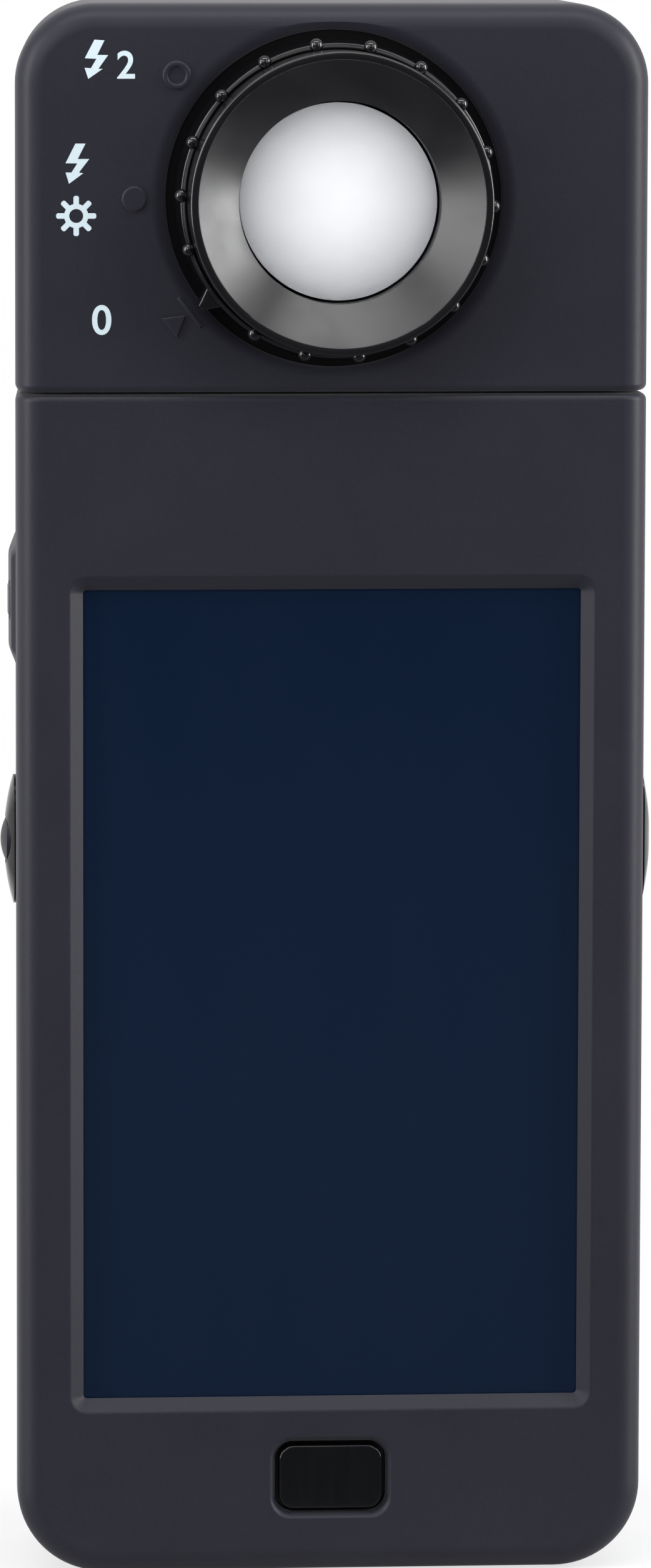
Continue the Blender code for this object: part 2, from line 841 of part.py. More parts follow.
def swivel_clip():
    """Open retaining ring in the groove of the neck."""
    inner = neck_radius - neck_groove + fit_gap
    ring = turned("swivel_clip", [(inner, swivel_clip_low), (swivel_clip_radius, swivel_clip_low),
                                  (swivel_clip_radius, swivel_clip_top), (inner, swivel_clip_top)],
                  (0, 0, 0), (0, 0, 1), swivel_segments)
    mouth = arc_prism("mouth", inner / 2, swivel_clip_radius + overrun, lug_centre, swivel_clip_mouth,
                      swivel_clip_low - overrun, swivel_clip_top + overrun)
    return cut(ring, mouth)


def neck_cable():
    """Round bundle of wires on the swivel axis, straight inside the hollow neck."""
    return rod("neck_cable", cable_radius, (0, 0, 0), (0, 0, 1), bay_high + tray_wall + fit_gap,
               bench_low - fit_gap, 10)


# Circuit boards
board_foot = 0.0035
chip_height = 0.0016
buzzer_radius = 0.0050
buzzer_height = 0.0030
buzzer_inset = 0.0125
buzzer_z = 0.0480
buzzer_x = half_inside - buzzer_inset
board_top = (neck_end + power_z + switch_height / 2) / 2


def main_board():
    """Long circuit board behind the display, notched around the screw pillars."""
    outline = rounded(switch_face(fit_gap), board_foot, board_top, foot_corner - end_wall,
                      seam_round, board_front)
    board = prism("main_board", outline, Vector((0, board_thickness, 0)))
    chip_half = bay_half / 2
    chip_z = (bay_low - tray_wall + tripod_z) / 2
    join(board, block("chip", (-chip_half, board_back - board_thickness / 2, chip_z - chip_half),
                      (chip_half, board_back + chip_height, chip_z + chip_half)))
    for x, z in body_screw_places:
        cut(board, rod("notch", boss_radius + fit_gap, (x, 0, z), (0, 1, 0), board_front - overrun,
                       board_back + overrun))
    return board


def buzzer():
    """Round sounder on the board."""
    start = board_back + fit_gap
    return rod("buzzer", buzzer_radius, (buzzer_x, 0, buzzer_z), (0, 1, 0), start, start + buzzer_height)


def add_plateau(shell):
    """Raised pad with sloping edges that the power key stands in."""
    skin = side_at(side_axis)
    levels = []
    for x, spread in ((skin - side_wall / 2, 1), (skin, 1), (skin + plateau_proud, 0)):
        depth = plateau_half_depth + spread * plateau_ramp / 2
        height = plateau_half_height + spread * plateau_ramp
        levels.append([Vector((-x, side_axis + across * depth, power_z + up * height))
                       for across, up in ((-1, -1), (1, -1), (1, 1), (-1, 1))])
    return join(shell, loft("plateau", levels))


def cut_side_openings(shell):
    """Openings for the keys and the port caps, a fit gap larger all round."""
    deep = half_inside - side_draft - overrun
    proud = side_at(side_axis) + measure_bulge + overrun
    reach = Vector((proud - deep, 0, 0))
    usb_half_y = usb_cap_half_depth + fit_gap
    usb_half_z = usb_cap_half_height + fit_gap
    return cut(
        shell,
        prism("measure", pad_level(deep, measure_half_depth + fit_gap, measure_half_height + fit_gap), reach),
        prism("memory", pad_level(-deep, bezel_half_depth + fit_gap, bezel_half_height + fit_gap), -reach),
        prism("power", power_outline(-deep, fit_gap), -reach),
        block("usb", (deep, side_axis - usb_half_y, usb_z - usb_half_z),
              (proud, side_axis + usb_half_y, usb_z + usb_half_z)),
        rod("sync", sync_cap_radius + fit_gap, (0, sync_axis, power_z), (1, 0, 0), deep, proud))


def body_rear_shell():
    """Back of the body: battery opening, side openings, tripod seat, strap notch and swivel hole."""
    shell = rear_shell("body_rear_shell", "body")
    add_plateau(shell)
    add_rear_bosses(shell, body_screw_places)
    seat = rod("seat", tripod_radius + 2 * end_wall, (0, 0, tripod_z), (0, 1, 0),
               back - tripod_length - end_wall, back_inside + rear_wall / 2, 20)
    lug = arc_prism("lug", lug_inner, lug_outer, lug_centre, lug_half_angle, stop_low,
                    body_ceiling + end_wall / 2)
    join(shell, seat, lug)
    cut(shell, rod("tripod", tripod_radius + fit_gap, (0, 0, tripod_z), (0, 1, 0),
                   back - tripod_length - fit_gap, back + overrun, 24),
        block("bay", (-bay_half, back_inside - overrun, bay_low), (bay_half, back + overrun, bay_high)))
    pin_reach = bay_half + hinge_pin_bite + fit_gap
    cut(shell, rod("pin_holes", hinge_pin_radius + fit_gap, (0, hinge_y, hinge_z), (1, 0, 0),
                   -pin_reach, pin_reach, 8),
        rod("swivel", neck_radius + 2 * fit_gap + bush_wall, (0, 0, 0), (0, 0, 1),
            body_ceiling - overrun, body_top + overrun, 24))
    cut_side_openings(shell)
    return add_strap_notch(shell)


def strap_corner(radius):
    """Point of the rounded back edge on the left, at a radius from the centre of its fillet."""
    return Vector((-(half_width - side_draft - back_fillet) - radius * math.sqrt(0.5),
                   back - back_fillet + radius * math.sqrt(0.5), strap_z))


def add_strap_notch(shell):
    """Thicken the back edge on the left, then hollow it out behind the strap bar."""
    middle = strap_corner(back_fillet)
    reach = strap_notch_radius + strap_bar_bite
    skin = back_fillet - rear_wall / 2
    fillet_x = -(half_width - side_draft - back_fillet)
    fillet_y = back - back_fillet
    low = strap_z - strap_half_length - strap_bar_bite - side_wall / 2
    outline = []
    for step in range(corner_steps + 1):
        angle = math.radians(90 + 90 * step / corner_steps)
        outline.append(Vector((fillet_x + skin * math.cos(angle), fillet_y + skin * math.sin(angle), low)))
    outline.append(Vector((fillet_x - skin, middle.y - reach, low)))
    outline.append(Vector((middle.x + reach, middle.y - reach, low)))
    outline.append(Vector((middle.x + reach, fillet_y + skin, low)))
    join(shell, prism("thick", outline, Vector((0, 0, 2 * (strap_z - low)))))
    bar = strap_corner(strap_bar_radius)
    bar_reach = strap_half_length + strap_bar_bite
    return cut(shell, rod("notch", strap_notch_radius, middle, (0, 0, 1), -strap_half_length,
                          strap_half_length, 20),
               rod("bar_holes", strap_pin_radius + fit_gap, bar, (0, 0, 1), -bar_reach, bar_reach, 10))


def strap_bar():
    """Steel pin across the notch, for a wrist strap or a neck cord."""
    reach = strap_half_length + strap_bar_bite - fit_gap
    return rod("strap_bar", strap_pin_radius, strap_corner(strap_bar_radius), (0, 0, 1), -reach, reach, 10)


# Shells of the head, with the well round the selector ring and the three raised setting marks
mark_margin = 0.00305
mark_proud = 0.0003
dot_radius = 0.00145
loop_outer = 0.00165
loop_inner = 0.0010
arrow_size = 0.0021
arrow_bar = 0.0004
arrow_spread = 0.0014
base_thickness = 0.0012
post_radius = 0.0012
post_clearance = 0.0006
post_cover = 0.0002
mark_orbit = well_radius + mark_margin
post_orbit = clip_radius + post_clearance + post_radius
base_radius = post_orbit + post_radius + post_cover
base_front = sleeve_end - fit_gap
base_back = base_front - base_thickness


def at_height(height):
    """Depth of a point that stands a height proud of the front face."""
    return front - height


def receptor(height=0.0):
    """Point on the receptor axis, a height proud of the front face."""
    return Vector((0, at_height(height), receptor_z))


def around(radius, angle, height):
    """Point round the receptor axis, its angle counted anticlockwise from +X as seen from the front."""
    return Vector((radius * math.cos(math.radians(angle)), at_height(height),
                   receptor_z + radius * math.sin(math.radians(angle))))


def mark_shape(points, angle):
    """Outline sunk in the front face, turned so that its own X points away from the ring."""
    away = around(1, angle, 0) - around(0, angle, 0)
    beside = Vector((-away.z, 0, away.x))
    return [around(mark_orbit, angle, -mark_proud) + away * out + beside * along for out, along in points]


def add_setting_marks(shell):
    """A loop, a dot and an arrow with a bar, where the pointer stops."""
    rise = Vector((0, -2 * mark_proud, 0))
    upper = 180 - ring_step
    lower = 180 + ring_step
    loop = around(mark_orbit, upper, 0)
    join(shell, turned("loop", [(loop_inner, -mark_proud), (loop_outer, -mark_proud),
                                (loop_outer, mark_proud), (loop_inner, mark_proud)], loop, (0, -1, 0)))
    join(shell, rod("dot", dot_radius, around(mark_orbit, 180, 0), (0, -1, 0), -mark_proud, mark_proud))
    bar = [(-arrow_size, -arrow_size), (-arrow_size + arrow_bar, -arrow_size),
           (-arrow_size + arrow_bar, arrow_size), (-arrow_size, arrow_size)]
    head = [(-arrow_size + 2 * arrow_bar, 0), (arrow_size / 2, -arrow_spread),
            (arrow_size / 2, arrow_spread)]
    return join(shell, prism("bar", mark_shape(bar, lower), rise),
                prism("head", mark_shape(head, lower), rise))


def head_front_shell():
    """Front of the head: well, ring bore, setting marks and the posts of the receptor base."""
    shell = front_shell("head_front_shell", "head")
    well_bottom = -well_depth - well_floor
    join(shell, rod("backing", well_radius + well_backing, receptor(), (0, -1, 0), well_bottom,
                    -well_depth - well_round, ring_segments))
    for angle in (90, 210, 330):
        join(shell, rod("post", post_radius, around(post_orbit, angle, 0), (0, -1, 0),
                        base_front + fit_gap, -well_depth - well_floor / 2, 10))
    well = [(0, -well_depth), (well_radius, -well_depth)]
    for step in range(fillet_steps + 1):
        angle = math.radians(90 * step / fillet_steps)
        well.append((well_radius + well_round * (1 - math.cos(angle)),
                     -well_round * (1 - math.sin(angle))))
    well += [(well_radius + well_round, overrun), (0, overrun)]
    cut(shell, turned("well", well, receptor(), (0, -1, 0), ring_segments),
        rod("bore", sleeve_outer + fit_gap, receptor(), (0, -1, 0), well_bottom - overrun,
            -well_depth + overrun, ring_segments))
    add_front_bosses(shell, head_screw_places)
    return add_setting_marks(shell)


def head_rear_shell():
    """Back of the head, with the hole for the swivel neck in its lower wall."""
    shell = rear_shell("head_rear_shell", "head")
    add_rear_bosses(shell, head_screw_places)
    return cut(shell, rod("swivel", neck_radius + fit_gap, (0, 0, 0), (0, 0, 1), head_bottom - overrun,
                          head_floor + overrun, 24))


# Selector ring
bump_radius = 0.0008
bump_inset = 0.0001
bump_first_angle = -2.0
bump_count = 18
pointer_index = 7
pointer_half_width = 0.0016
pointer_reach = 0.0019
pointer_tip_half_width = 0.0007
skirt_flare = 0.0014
bump_orbit = ledge_radius - bump_inset
pointer_tip = ledge_radius + pointer_reach
pointer_angle = bump_first_angle - pointer_index * 360 / bump_count


def selector_ring():
    """Knurled ring with a conical mouth, a ledge of round grips, a pointer and an inner sleeve."""
    bottom = -well_depth + fit_gap
    groove_radius = sleeve_outer - clip_bite
    hollow_outer = rim_radius - knob_wall
    profile = [(skirt_radius, bottom), (skirt_radius, skirt_height),
               (ledge_radius, skirt_height + skirt_flare), (ledge_radius, ledge_height),
               (rim_radius, ledge_height), (rim_radius, rim_height - rim_round),
               (rim_radius - rim_round, rim_height), (mouth_radius, rim_height),
               (throat_radius, throat_height), (throat_radius, sleeve_end), (sleeve_outer, sleeve_end),
               (sleeve_outer, clip_back - fit_gap / 2), (groove_radius, clip_back - fit_gap / 2),
               (groove_radius, clip_front + fit_gap / 2), (sleeve_outer, clip_front + fit_gap / 2),
               (sleeve_outer, throat_height - knob_web), (hollow_outer, throat_height - knob_web),
               (hollow_outer, bottom)]
    ring = turned("selector_ring", profile, receptor(), (0, -1, 0), ring_segments)
    for index in range(bump_count):
        if index == pointer_index:
            continue
        angle = bump_first_angle - index * 360 / bump_count
        belt = bump_radius * math.sqrt(0.75)
        ball = [(0, -bump_radius), (belt, -bump_radius / 2), (belt, bump_radius / 2), (0, bump_radius)]
        join(ring, turned("bump", ball, around(bump_orbit, angle, ledge_height), (0, -1, 0), 6))
    out = around(1, pointer_angle, 0) - around(0, pointer_angle, 0)
    side = Vector((-out.z, 0, out.x))
    root = around(ledge_radius - knob_wall / 2, pointer_angle, skirt_height)
    tip = around(pointer_tip, pointer_angle, skirt_height)
    shoulder = tip - out * pointer_tip_half_width
    outline = [root - side * pointer_half_width, shoulder - side * pointer_tip_half_width,
               tip - side * pointer_tip_half_width / 2, tip + side * pointer_tip_half_width / 2,
               shoulder + side * pointer_tip_half_width, root + side * pointer_half_width]
    return join(ring, prism("pointer", outline, Vector((0, skirt_height - ledge_height + rim_round, 0))))


def ring_clip():
    """Open retaining ring behind the front wall, in the groove of the sleeve."""
    inner = sleeve_outer - clip_bite + fit_gap
    clip = turned("ring_clip", [(inner, clip_back), (clip_radius, clip_back), (clip_radius, clip_front),
                                (inner, clip_front)], receptor(), (0, -1, 0), 28)
    mouth = block("mouth", (-clip_width, at_height(clip_front) - overrun, receptor_z + inner / 2),
                  (clip_width, at_height(clip_back) + overrun, receptor_z + clip_radius + overrun))
    return cut(clip, mouth)


# Light path: diffuser, barrel, aperture disc, filter, slit and optical bench
dome_gap = 0.0003
dome_edge_height = 0.0065
dome_rise = 0.0048
dome_wall = 0.0008
dome_seat = 0.0009
dome_steps = 5
barrel_wall = 0.0010
stem_hold = 0.0022
port_radius = 0.0012
port_angle = 180.0
filter_radius = 0.0017
filter_thickness = 0.0005
slit_half_width = 0.0002
slit_half_height = 0.0010
slit_plate_radius = 0.0026
slit_plate_thickness = 0.0004
bench_side_gap = 0.0030
bench_wall = 0.0015
bench_low_gap = 0.0034
bench_high_gap = 0.0038
mirror_size = 0.0050
grating_half_height = 0.0040
grating_thickness = 0.0030
grating_hollow = 0.0010
sensor_half_length = 0.0100
sensor_half_depth = 0.0035
sensor_thickness = 0.0020
sensor_chip_height = 0.0009
detent_width = 0.0008
detent_half_length = 0.0060
detent_nose_root = 0.0015
detent_nose_tip = 0.0006
bench_half_width = half_width - screw_inset_x - boss_radius - bench_side_gap
port_orbit = (stem_hold + throat_radius) / 2
disc_front = sleeve_end + disc_thickness
barrel_floor = disc_front + fit_gap
bench_low = head_floor + fit_gap + neck_flange + bench_low_gap
bench_high = head_ceiling - bench_high_gap
bench_front = at_height(base_back) + fit_gap
sensor_board_back = back_inside - sensor_chip_height - fit_gap
sensor_board_front = sensor_board_back - board_thickness
bench_back = sensor_board_front - fit_gap


def diffuser_dome():
    """Thin white dome that collects the light."""
    radius = throat_radius - dome_gap
    inner = radius - dome_wall
    angles = [math.pi / 2 * step / dome_steps for step in range(dome_steps + 1)]
    profile = [(radius * math.sin(angle), dome_edge_height + dome_rise * math.cos(angle))
               for angle in angles]
    profile.append((radius, dome_edge_height - dome_seat))
    profile.append((inner, dome_edge_height - dome_seat))
    profile += [(inner * math.sin(angle), dome_edge_height + (dome_rise - dome_wall) * math.cos(angle))
                for angle in reversed(angles)]
    return turned("diffuser_dome", profile, receptor(), (0, -1, 0), 30)


def receptor_barrel():
    """Cup under the diffuser, on a stem that passes through the aperture disc."""
    radius = throat_radius - dome_gap
    top = dome_edge_height - dome_seat - fit_gap
    profile = [(0, barrel_floor + barrel_wall), (radius - barrel_wall, barrel_floor + barrel_wall),
               (radius - barrel_wall, top), (radius, top), (radius, barrel_floor),
               (stem_hold, barrel_floor), (stem_hold, base_back), (0, base_back)]
    barrel = turned("receptor_barrel", profile, receptor(), (0, -1, 0), 24)
    return cut(barrel, rod("port", port_radius, around(port_orbit, port_angle, 0), (0, -1, 0),
                           barrel_floor - overrun, barrel_floor + barrel_wall + overrun, 12))


def aperture_disc():
    """Disc in the end of the sleeve: blank, open and filtered in turn behind the barrel port."""
    inner = stem_hold + fit_gap
    outer = throat_radius - fit_gap
    disc = turned("aperture_disc", [(inner, sleeve_end), (outer, sleeve_end), (outer, disc_front),
                                    (inner, disc_front)], receptor(), (0, -1, 0), 24)
    for turn, radius in ((ring_step, port_radius), (2 * ring_step, filter_radius + fit_gap)):
        cut(disc, rod("hole", radius, around(port_orbit, port_angle + turn, 0), (0, -1, 0),
                      sleeve_end - overrun, disc_front + overrun, 12))
    return disc


def density_filter():
    """Grey glass in the third opening of the aperture disc, for bright flash."""
    middle = around(port_orbit, port_angle + 2 * ring_step, 0)
    low = sleeve_end + (disc_thickness - filter_thickness) / 2
    return rod("density_filter", filter_radius, middle, (0, -1, 0), low, low + filter_thickness, 12)


def receptor_base():
    """Round plate on three posts that holds the barrel and closes the optical bench."""
    plate = rod("receptor_base", base_radius, receptor(), (0, -1, 0), base_back, base_front, 28)
    cut(plate, rod("seat", stem_hold + fit_gap, receptor(), (0, -1, 0), base_back - overrun,
                   base_front + overrun, 16),
        rod("port", port_radius, around(port_orbit, port_angle, 0), (0, -1, 0), base_back - overrun,
            base_front + overrun, 12))
    return plate


def detent_spring():
    """Leaf spring beside the retaining ring, with a nose that clicks at each setting."""
    nose = receptor_z - clip_radius - fit_gap
    top = nose - detent_width
    low = top - detent_width
    outline = [Vector((x, at_height(clip_front), z)) for x, z in (
        (-detent_half_length, low), (detent_half_length, low), (detent_half_length, top),
        (detent_nose_root, top), (detent_nose_tip, nose), (-detent_nose_tip, nose),
        (-detent_nose_root, top), (-detent_half_length, top))]
    return prism("detent_spring", outline, Vector((0, clip_thickness, 0)))


def optical_bench():
    """Black box with an open front, under the receptor base."""
    bench = block("optical_bench", (-bench_half_width, bench_front, bench_low),
                  (bench_half_width, bench_back, bench_high))
    return cut(bench, block("hollow", (-bench_half_width + bench_wall, bench_front - overrun,
                                       bench_low + bench_wall),
                            (bench_half_width - bench_wall, bench_back - bench_wall,
                             bench_high - bench_wall)))


def slit_plate():
    """Thin disc with the entrance slit, behind the port."""
    middle = around(port_orbit, port_angle, 0)
    front_height = base_back - fit_gap
    plate = rod("slit_plate", slit_plate_radius, middle, (0, -1, 0), front_height - slit_plate_thickness,
                front_height, 12)
    slot_front = at_height(front_height) - overrun
    return cut(plate, block("slit", (middle.x - slit_half_width, slot_front, middle.z - slit_half_height),
                            (middle.x + slit_half_width,
                             at_height(front_height - slit_plate_thickness) + overrun,
                             middle.z + slit_half_height)))


def fold_mirror():
    """Prism that turns the light from the slit towards the grating."""
    middle = around(port_orbit, port_angle, 0)
    floor = bench_back - bench_wall - fit_gap
    outline = [Vector((middle.x - mirror_size / 2, floor, middle.z - mirror_size / 2)),
               Vector((middle.x + mirror_size / 2, floor, middle.z - mirror_size / 2)),
               Vector((middle.x - mirror_size / 2, floor - mirror_size, middle.z - mirror_size / 2))]
    return prism("fold_mirror", outline, Vector((0, 0, mirror_size)))


def concave_grating():
    """Block with a hollow ruled face that spreads the colours."""
    floor = bench_back - bench_wall - fit_gap
    face = bench_half_width - bench_wall - fit_gap - grating_thickness
    low = floor - 2 * grating_half_height
    outline = [Vector((face + grating_thickness, low, receptor_z - grating_half_height)),
               Vector((face + grating_thickness, floor, receptor_z - grating_half_height))]
    for step in range(2 * corner_steps + 1):
        share = 1 - step / corner_steps
        outline.append(Vector((face + grating_hollow * (1 - share ** 2),
                               floor - grating_half_height * (1 - share),
                               receptor_z - grating_half_height)))
    return prism("concave_grating", outline, Vector((0, 0, 2 * grating_half_height)))


def line_sensor():
    """Linear image sensor that reads the spectrum."""
    low = bench_low + bench_wall + fit_gap
    floor = bench_back - bench_wall - fit_gap
    return block("line_sensor", (-sensor_half_length, floor - 2 * sensor_half_depth, low),
                 (sensor_half_length, floor, low + sensor_thickness))


def sensor_board():
    """Circuit board between the bench and the back of the head."""
    board = block("sensor_board", (-bench_half_width, sensor_board_front, bench_low),
                  (bench_half_width, sensor_board_back, bench_high))
    chip = bench_half_width / 3
    return join(board, block("chip", (-chip, sensor_board_back - board_thickness / 2, receptor_z - chip),
                             (chip, sensor_board_back + sensor_chip_height, receptor_z + chip)))


# Bring the pieces together on the bodies that move
charcoal = (0.030, 0.032, 0.036)
gloss_black = (0.008, 0.008, 0.009)
green_board = (0.02, 0.11, 0.05)
steel = (0.55, 0.56, 0.58)
brass = (0.62, 0.45, 0.17)
white = (0.85, 0.86, 0.88)


def pivot(name, place, parent=None):
    """Empty on a joint axis."""
    empty = bpy.data.objects.new(name, None)
    bpy.context.collection.objects.link(empty)
    empty.empty_display_size = neck_radius
    empty.location = Vector(place)
    if parent is not None:
        empty.parent = parent
        empty.location = Vector(place) - parent.location
    return empty


def carry(carrier, place, *items):
    """Hang pieces on an empty and put their origin on it."""
    for item in items:
        item.data.transform(Matrix.Translation(-Vector(place)))
        item.parent = carrier


def build():
    """Make every piece, then hang the moving ones on their axes."""
    for item in list(bpy.data.objects):
        bpy.data.objects.remove(item)
    paint(body_front_shell(), charcoal, 0.55)
    paint(body_rear_shell(), charcoal, 0.55)
    paint(touch_glass(), (0.010, 0.014, 0.024), 0.08)
    paint(display_module(), (0.05, 0.06, 0.08), 0.4)
    paint(main_board(), green_board, 0.5)
    paint(buzzer(), gloss_black, 0.4)
    paint(home_switch(), steel, 0.4, 1.0)
    paint(side_switch("power_switch", -1, power_z), steel, 0.4, 1.0)
    paint(side_switch("memory_switch", -1, memory_z), steel, 0.4, 1.0)
    paint(side_switch("measure_switch", 1, memory_z), steel, 0.4, 1.0)
    paint(memory_bezel(), gloss_black, 0.15)
    paint(battery_tray(), charcoal, 0.6)
    paint(battery("battery_left", -battery_x, True), (0.10, 0.22, 0.45), 0.35)
    paint(battery("battery_right", battery_x, False), (0.10, 0.22, 0.45), 0.35)
    paint(contact_bridge(), steel, 0.3, 1.0)
    paint(contact_cone("contact_spring", battery_x, bay_high - fit_gap, -1), steel, 0.3, 1.0)
    paint(contact_button(), steel, 0.3, 1.0)
    paint(usb_socket(), steel, 0.3, 1.0)
    paint(sync_socket(), brass, 0.3, 1.0)
    paint(tripod_bush(), steel, 0.35, 1.0)
    paint(strap_bar(), steel, 0.3, 1.0)
    for screw in screws("body_screw", body_screw_places):
        paint(screw, steel, 0.35, 1.0)
    paint(swivel_bush(), white, 0.5)
    paint(swivel_washer(), steel, 0.4, 1.0)
    paint(neck_cable(), gloss_black, 0.5)

    home = (0, front + home_sink, home_z)
    carry(pivot("home_axis", home), home, paint(home_button(), gloss_black, 0.12))
    power = (-side_at(side_axis), side_axis, power_z)
    carry(pivot("power_axis", power), power, paint(power_button(), charcoal, 0.5))
    memory = (-side_at(side_axis), side_axis, memory_z)
    carry(pivot("memory_axis", memory), memory, paint(memory_button(), charcoal, 0.5))
    measure = (side_at(side_axis), side_axis, memory_z)
    carry(pivot("measure_axis", measure), measure, paint(measure_button(), gloss_black, 0.15))
    hinge = (0, hinge_y, hinge_z)
    carry(pivot("cover_axis", hinge), hinge, paint(battery_cover(), charcoal, 0.55))
    flap = (side_at(side_axis) - cap_thickness / 2, side_axis,
            usb_z - usb_cap_half_height + cap_thickness / 2)
    carry(pivot("usb_axis", flap), flap, paint(usb_cap(), charcoal, 0.8))
    plug = (side_at(sync_axis), sync_axis, power_z)
    carry(pivot("sync_axis", plug), plug, paint(sync_cap(), charcoal, 0.7))

    swivel = (0, 0, seam)
    head = pivot("head_axis", swivel)
    carry(head, swivel,
          paint(head_front_shell(), charcoal, 0.55), paint(head_rear_shell(), charcoal, 0.55),
          *[paint(screw, steel, 0.35, 1.0) for screw in screws("head_screw", head_screw_places)],
          paint(swivel_neck(), steel, 0.35, 1.0), paint(swivel_stop(), steel, 0.35, 1.0),
          paint(swivel_clip(), steel, 0.35, 1.0),
          paint(diffuser_dome(), white, 0.35), paint(receptor_barrel(), white, 0.6),
          paint(receptor_base(), gloss_black, 0.5), paint(detent_spring(), steel, 0.3, 1.0),
          paint(slit_plate(), steel, 0.3, 1.0), paint(optical_bench(), gloss_black, 0.6),
          paint(fold_mirror(), steel, 0.05, 1.0), paint(concave_grating(), steel, 0.1, 1.0),
          paint(line_sensor(), gloss_black, 0.3), paint(sensor_board(), green_board, 0.5))
    turn = receptor()
    carry(pivot("ring_axis", turn, head), turn,
          paint(selector_ring(), gloss_black, 0.35), paint(ring_clip(), steel, 0.3, 1.0),
          paint(aperture_disc(), gloss_black, 0.6), paint(density_filter(), (0.1, 0.1, 0.11), 0.1))


build()
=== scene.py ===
"""Handheld light spectrometer on a white sweep. Metres, +Z up its length, the screen faces -Y."""
import json
import math

import bmesh
import bpy
from mathutils import Matrix, Vector


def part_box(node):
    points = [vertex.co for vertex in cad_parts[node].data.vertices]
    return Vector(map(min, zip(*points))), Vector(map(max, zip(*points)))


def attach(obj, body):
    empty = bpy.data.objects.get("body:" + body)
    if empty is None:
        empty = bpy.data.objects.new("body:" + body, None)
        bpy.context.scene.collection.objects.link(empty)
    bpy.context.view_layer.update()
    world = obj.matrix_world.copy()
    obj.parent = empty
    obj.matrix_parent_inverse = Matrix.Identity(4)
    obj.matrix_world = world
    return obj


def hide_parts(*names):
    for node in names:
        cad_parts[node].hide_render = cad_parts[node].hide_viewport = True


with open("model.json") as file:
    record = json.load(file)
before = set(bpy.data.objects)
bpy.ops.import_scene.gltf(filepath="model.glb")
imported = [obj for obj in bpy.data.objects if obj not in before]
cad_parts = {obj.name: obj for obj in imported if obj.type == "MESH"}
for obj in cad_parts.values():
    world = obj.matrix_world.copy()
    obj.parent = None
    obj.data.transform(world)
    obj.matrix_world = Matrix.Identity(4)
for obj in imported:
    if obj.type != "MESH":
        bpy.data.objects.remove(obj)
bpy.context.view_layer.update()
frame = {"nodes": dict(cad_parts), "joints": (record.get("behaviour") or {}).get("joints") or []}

# Camera. A long lens stands about a metre in front, a little to the left of the screen and above
# its middle, so that the left side and the top of the ring just show.
camera_place = (-0.07443, -0.99441, 0.20996)
camera_turns = (83.217, -0.152, -4.273)
camera_lens_mm = 196.4
camera_sensor_mm = 36
bpy.ops.object.camera_add(location=camera_place,
                          rotation=[math.radians(turn) for turn in camera_turns])
camera = bpy.context.object
camera.data.lens = camera_lens_mm
camera.data.sensor_width = camera_sensor_mm
bpy.context.scene.camera = camera
bpy.context.scene.view_settings.view_transform = "Standard"

# Light. Soft boxes stand on both sides of the camera, and tall narrow ones beside the instrument
# draw a pale line down each rounded edge. The room in front is dim in the gloss and gives a soft
# fill, and the backdrop behind is white.
light_aim = Vector((0, 0, 0.11))
softboxes = (
    ("softbox_front_left", (-0.36, -0.51, 0.43), 0.30, 0.4, 0.88),
    ("softbox_front_right", (0.38, -0.53, 0.43), 0.30, 0.4, 0.76),
    ("softbox_above_camera", (-0.16, -0.49, 0.43), 0.40, 0.22, 0.22),
    ("softbox_left", (-0.75, -0.24, 0.22), 0.15, 0.9, 5.8),
    ("softbox_right", (0.78, -0.18, 0.22), 0.18, 0.9, 8.4),
    ("softbox_top", (0.0, -0.27, 0.92), 1.1, 0.2, 4.2))
room_grey = 0.09
room_fill = 0.72
room_tint = 1.04
backdrop_grey = 0.45
backdrop_tint = 1.02
backdrop_gloss = 0.6
backdrop_from, backdrop_to = -0.1, 0.5


def add_softbox(name, place, width, height, watts):
    """Rectangular lamp that faces the instrument."""
    turn = (light_aim - Vector(place)).to_track_quat("-Z", "Y").to_euler()
    bpy.ops.object.light_add(type="AREA", location=place, rotation=turn)
    lamp = bpy.context.object
    lamp.name = name
    lamp.data.shape = "RECTANGLE"
    lamp.data.size = width
    lamp.data.size_y = height
    lamp.data.energy = watts


for softbox in softboxes:
    add_softbox(*softbox)


def colour(code):
    """Linear colour of an sRGB hex value."""
    parts = [int(code[index:index + 2], 16) / 255 for index in (0, 2, 4)]
    return (*[part / 12.92 if part <= 0.04045 else ((part + 0.055) / 1.055) ** 2.4
              for part in parts], 1)


def add_node(tree, kind, sockets=None, **settings):
    """Add a node with its settings, and give each socket a value or a link.

    A node as a value stands for its first output.
    """
    node = tree.nodes.new(kind)
    for setting, value in settings.items():
        setattr(node, setting, value)
    for socket, value in (sockets or {}).items():
        if isinstance(value, bpy.types.Node):
            value = value.outputs[0]
        if isinstance(value, bpy.types.NodeSocket):
            tree.links.new(value, node.inputs[socket])
        else:
            node.inputs[socket].default_value = value
    return node


def open_tree(owner):
    """Empty node tree of a material or a world."""
    owner.use_nodes = True
    owner.node_tree.nodes.clear()
    return owner.node_tree


def see_white(tree, behind):
    """One for rays that show the background: those of the eye and of glass, and gloss behind."""
    path = add_node(tree, "ShaderNodeLightPath")
    gloss_ray = add_node(tree, "ShaderNodeMath", {
        0: path.outputs["Is Glossy Ray"], 1: behind}, operation="MULTIPLY")
    direct = add_node(tree, "ShaderNodeMath", {
        0: path.outputs["Is Camera Ray"], 1: path.outputs["Is Transmission Ray"]},
        operation="MAXIMUM")
    return add_node(tree, "ShaderNodeMath", {0: direct, 1: gloss_ray}, operation="MAXIMUM")


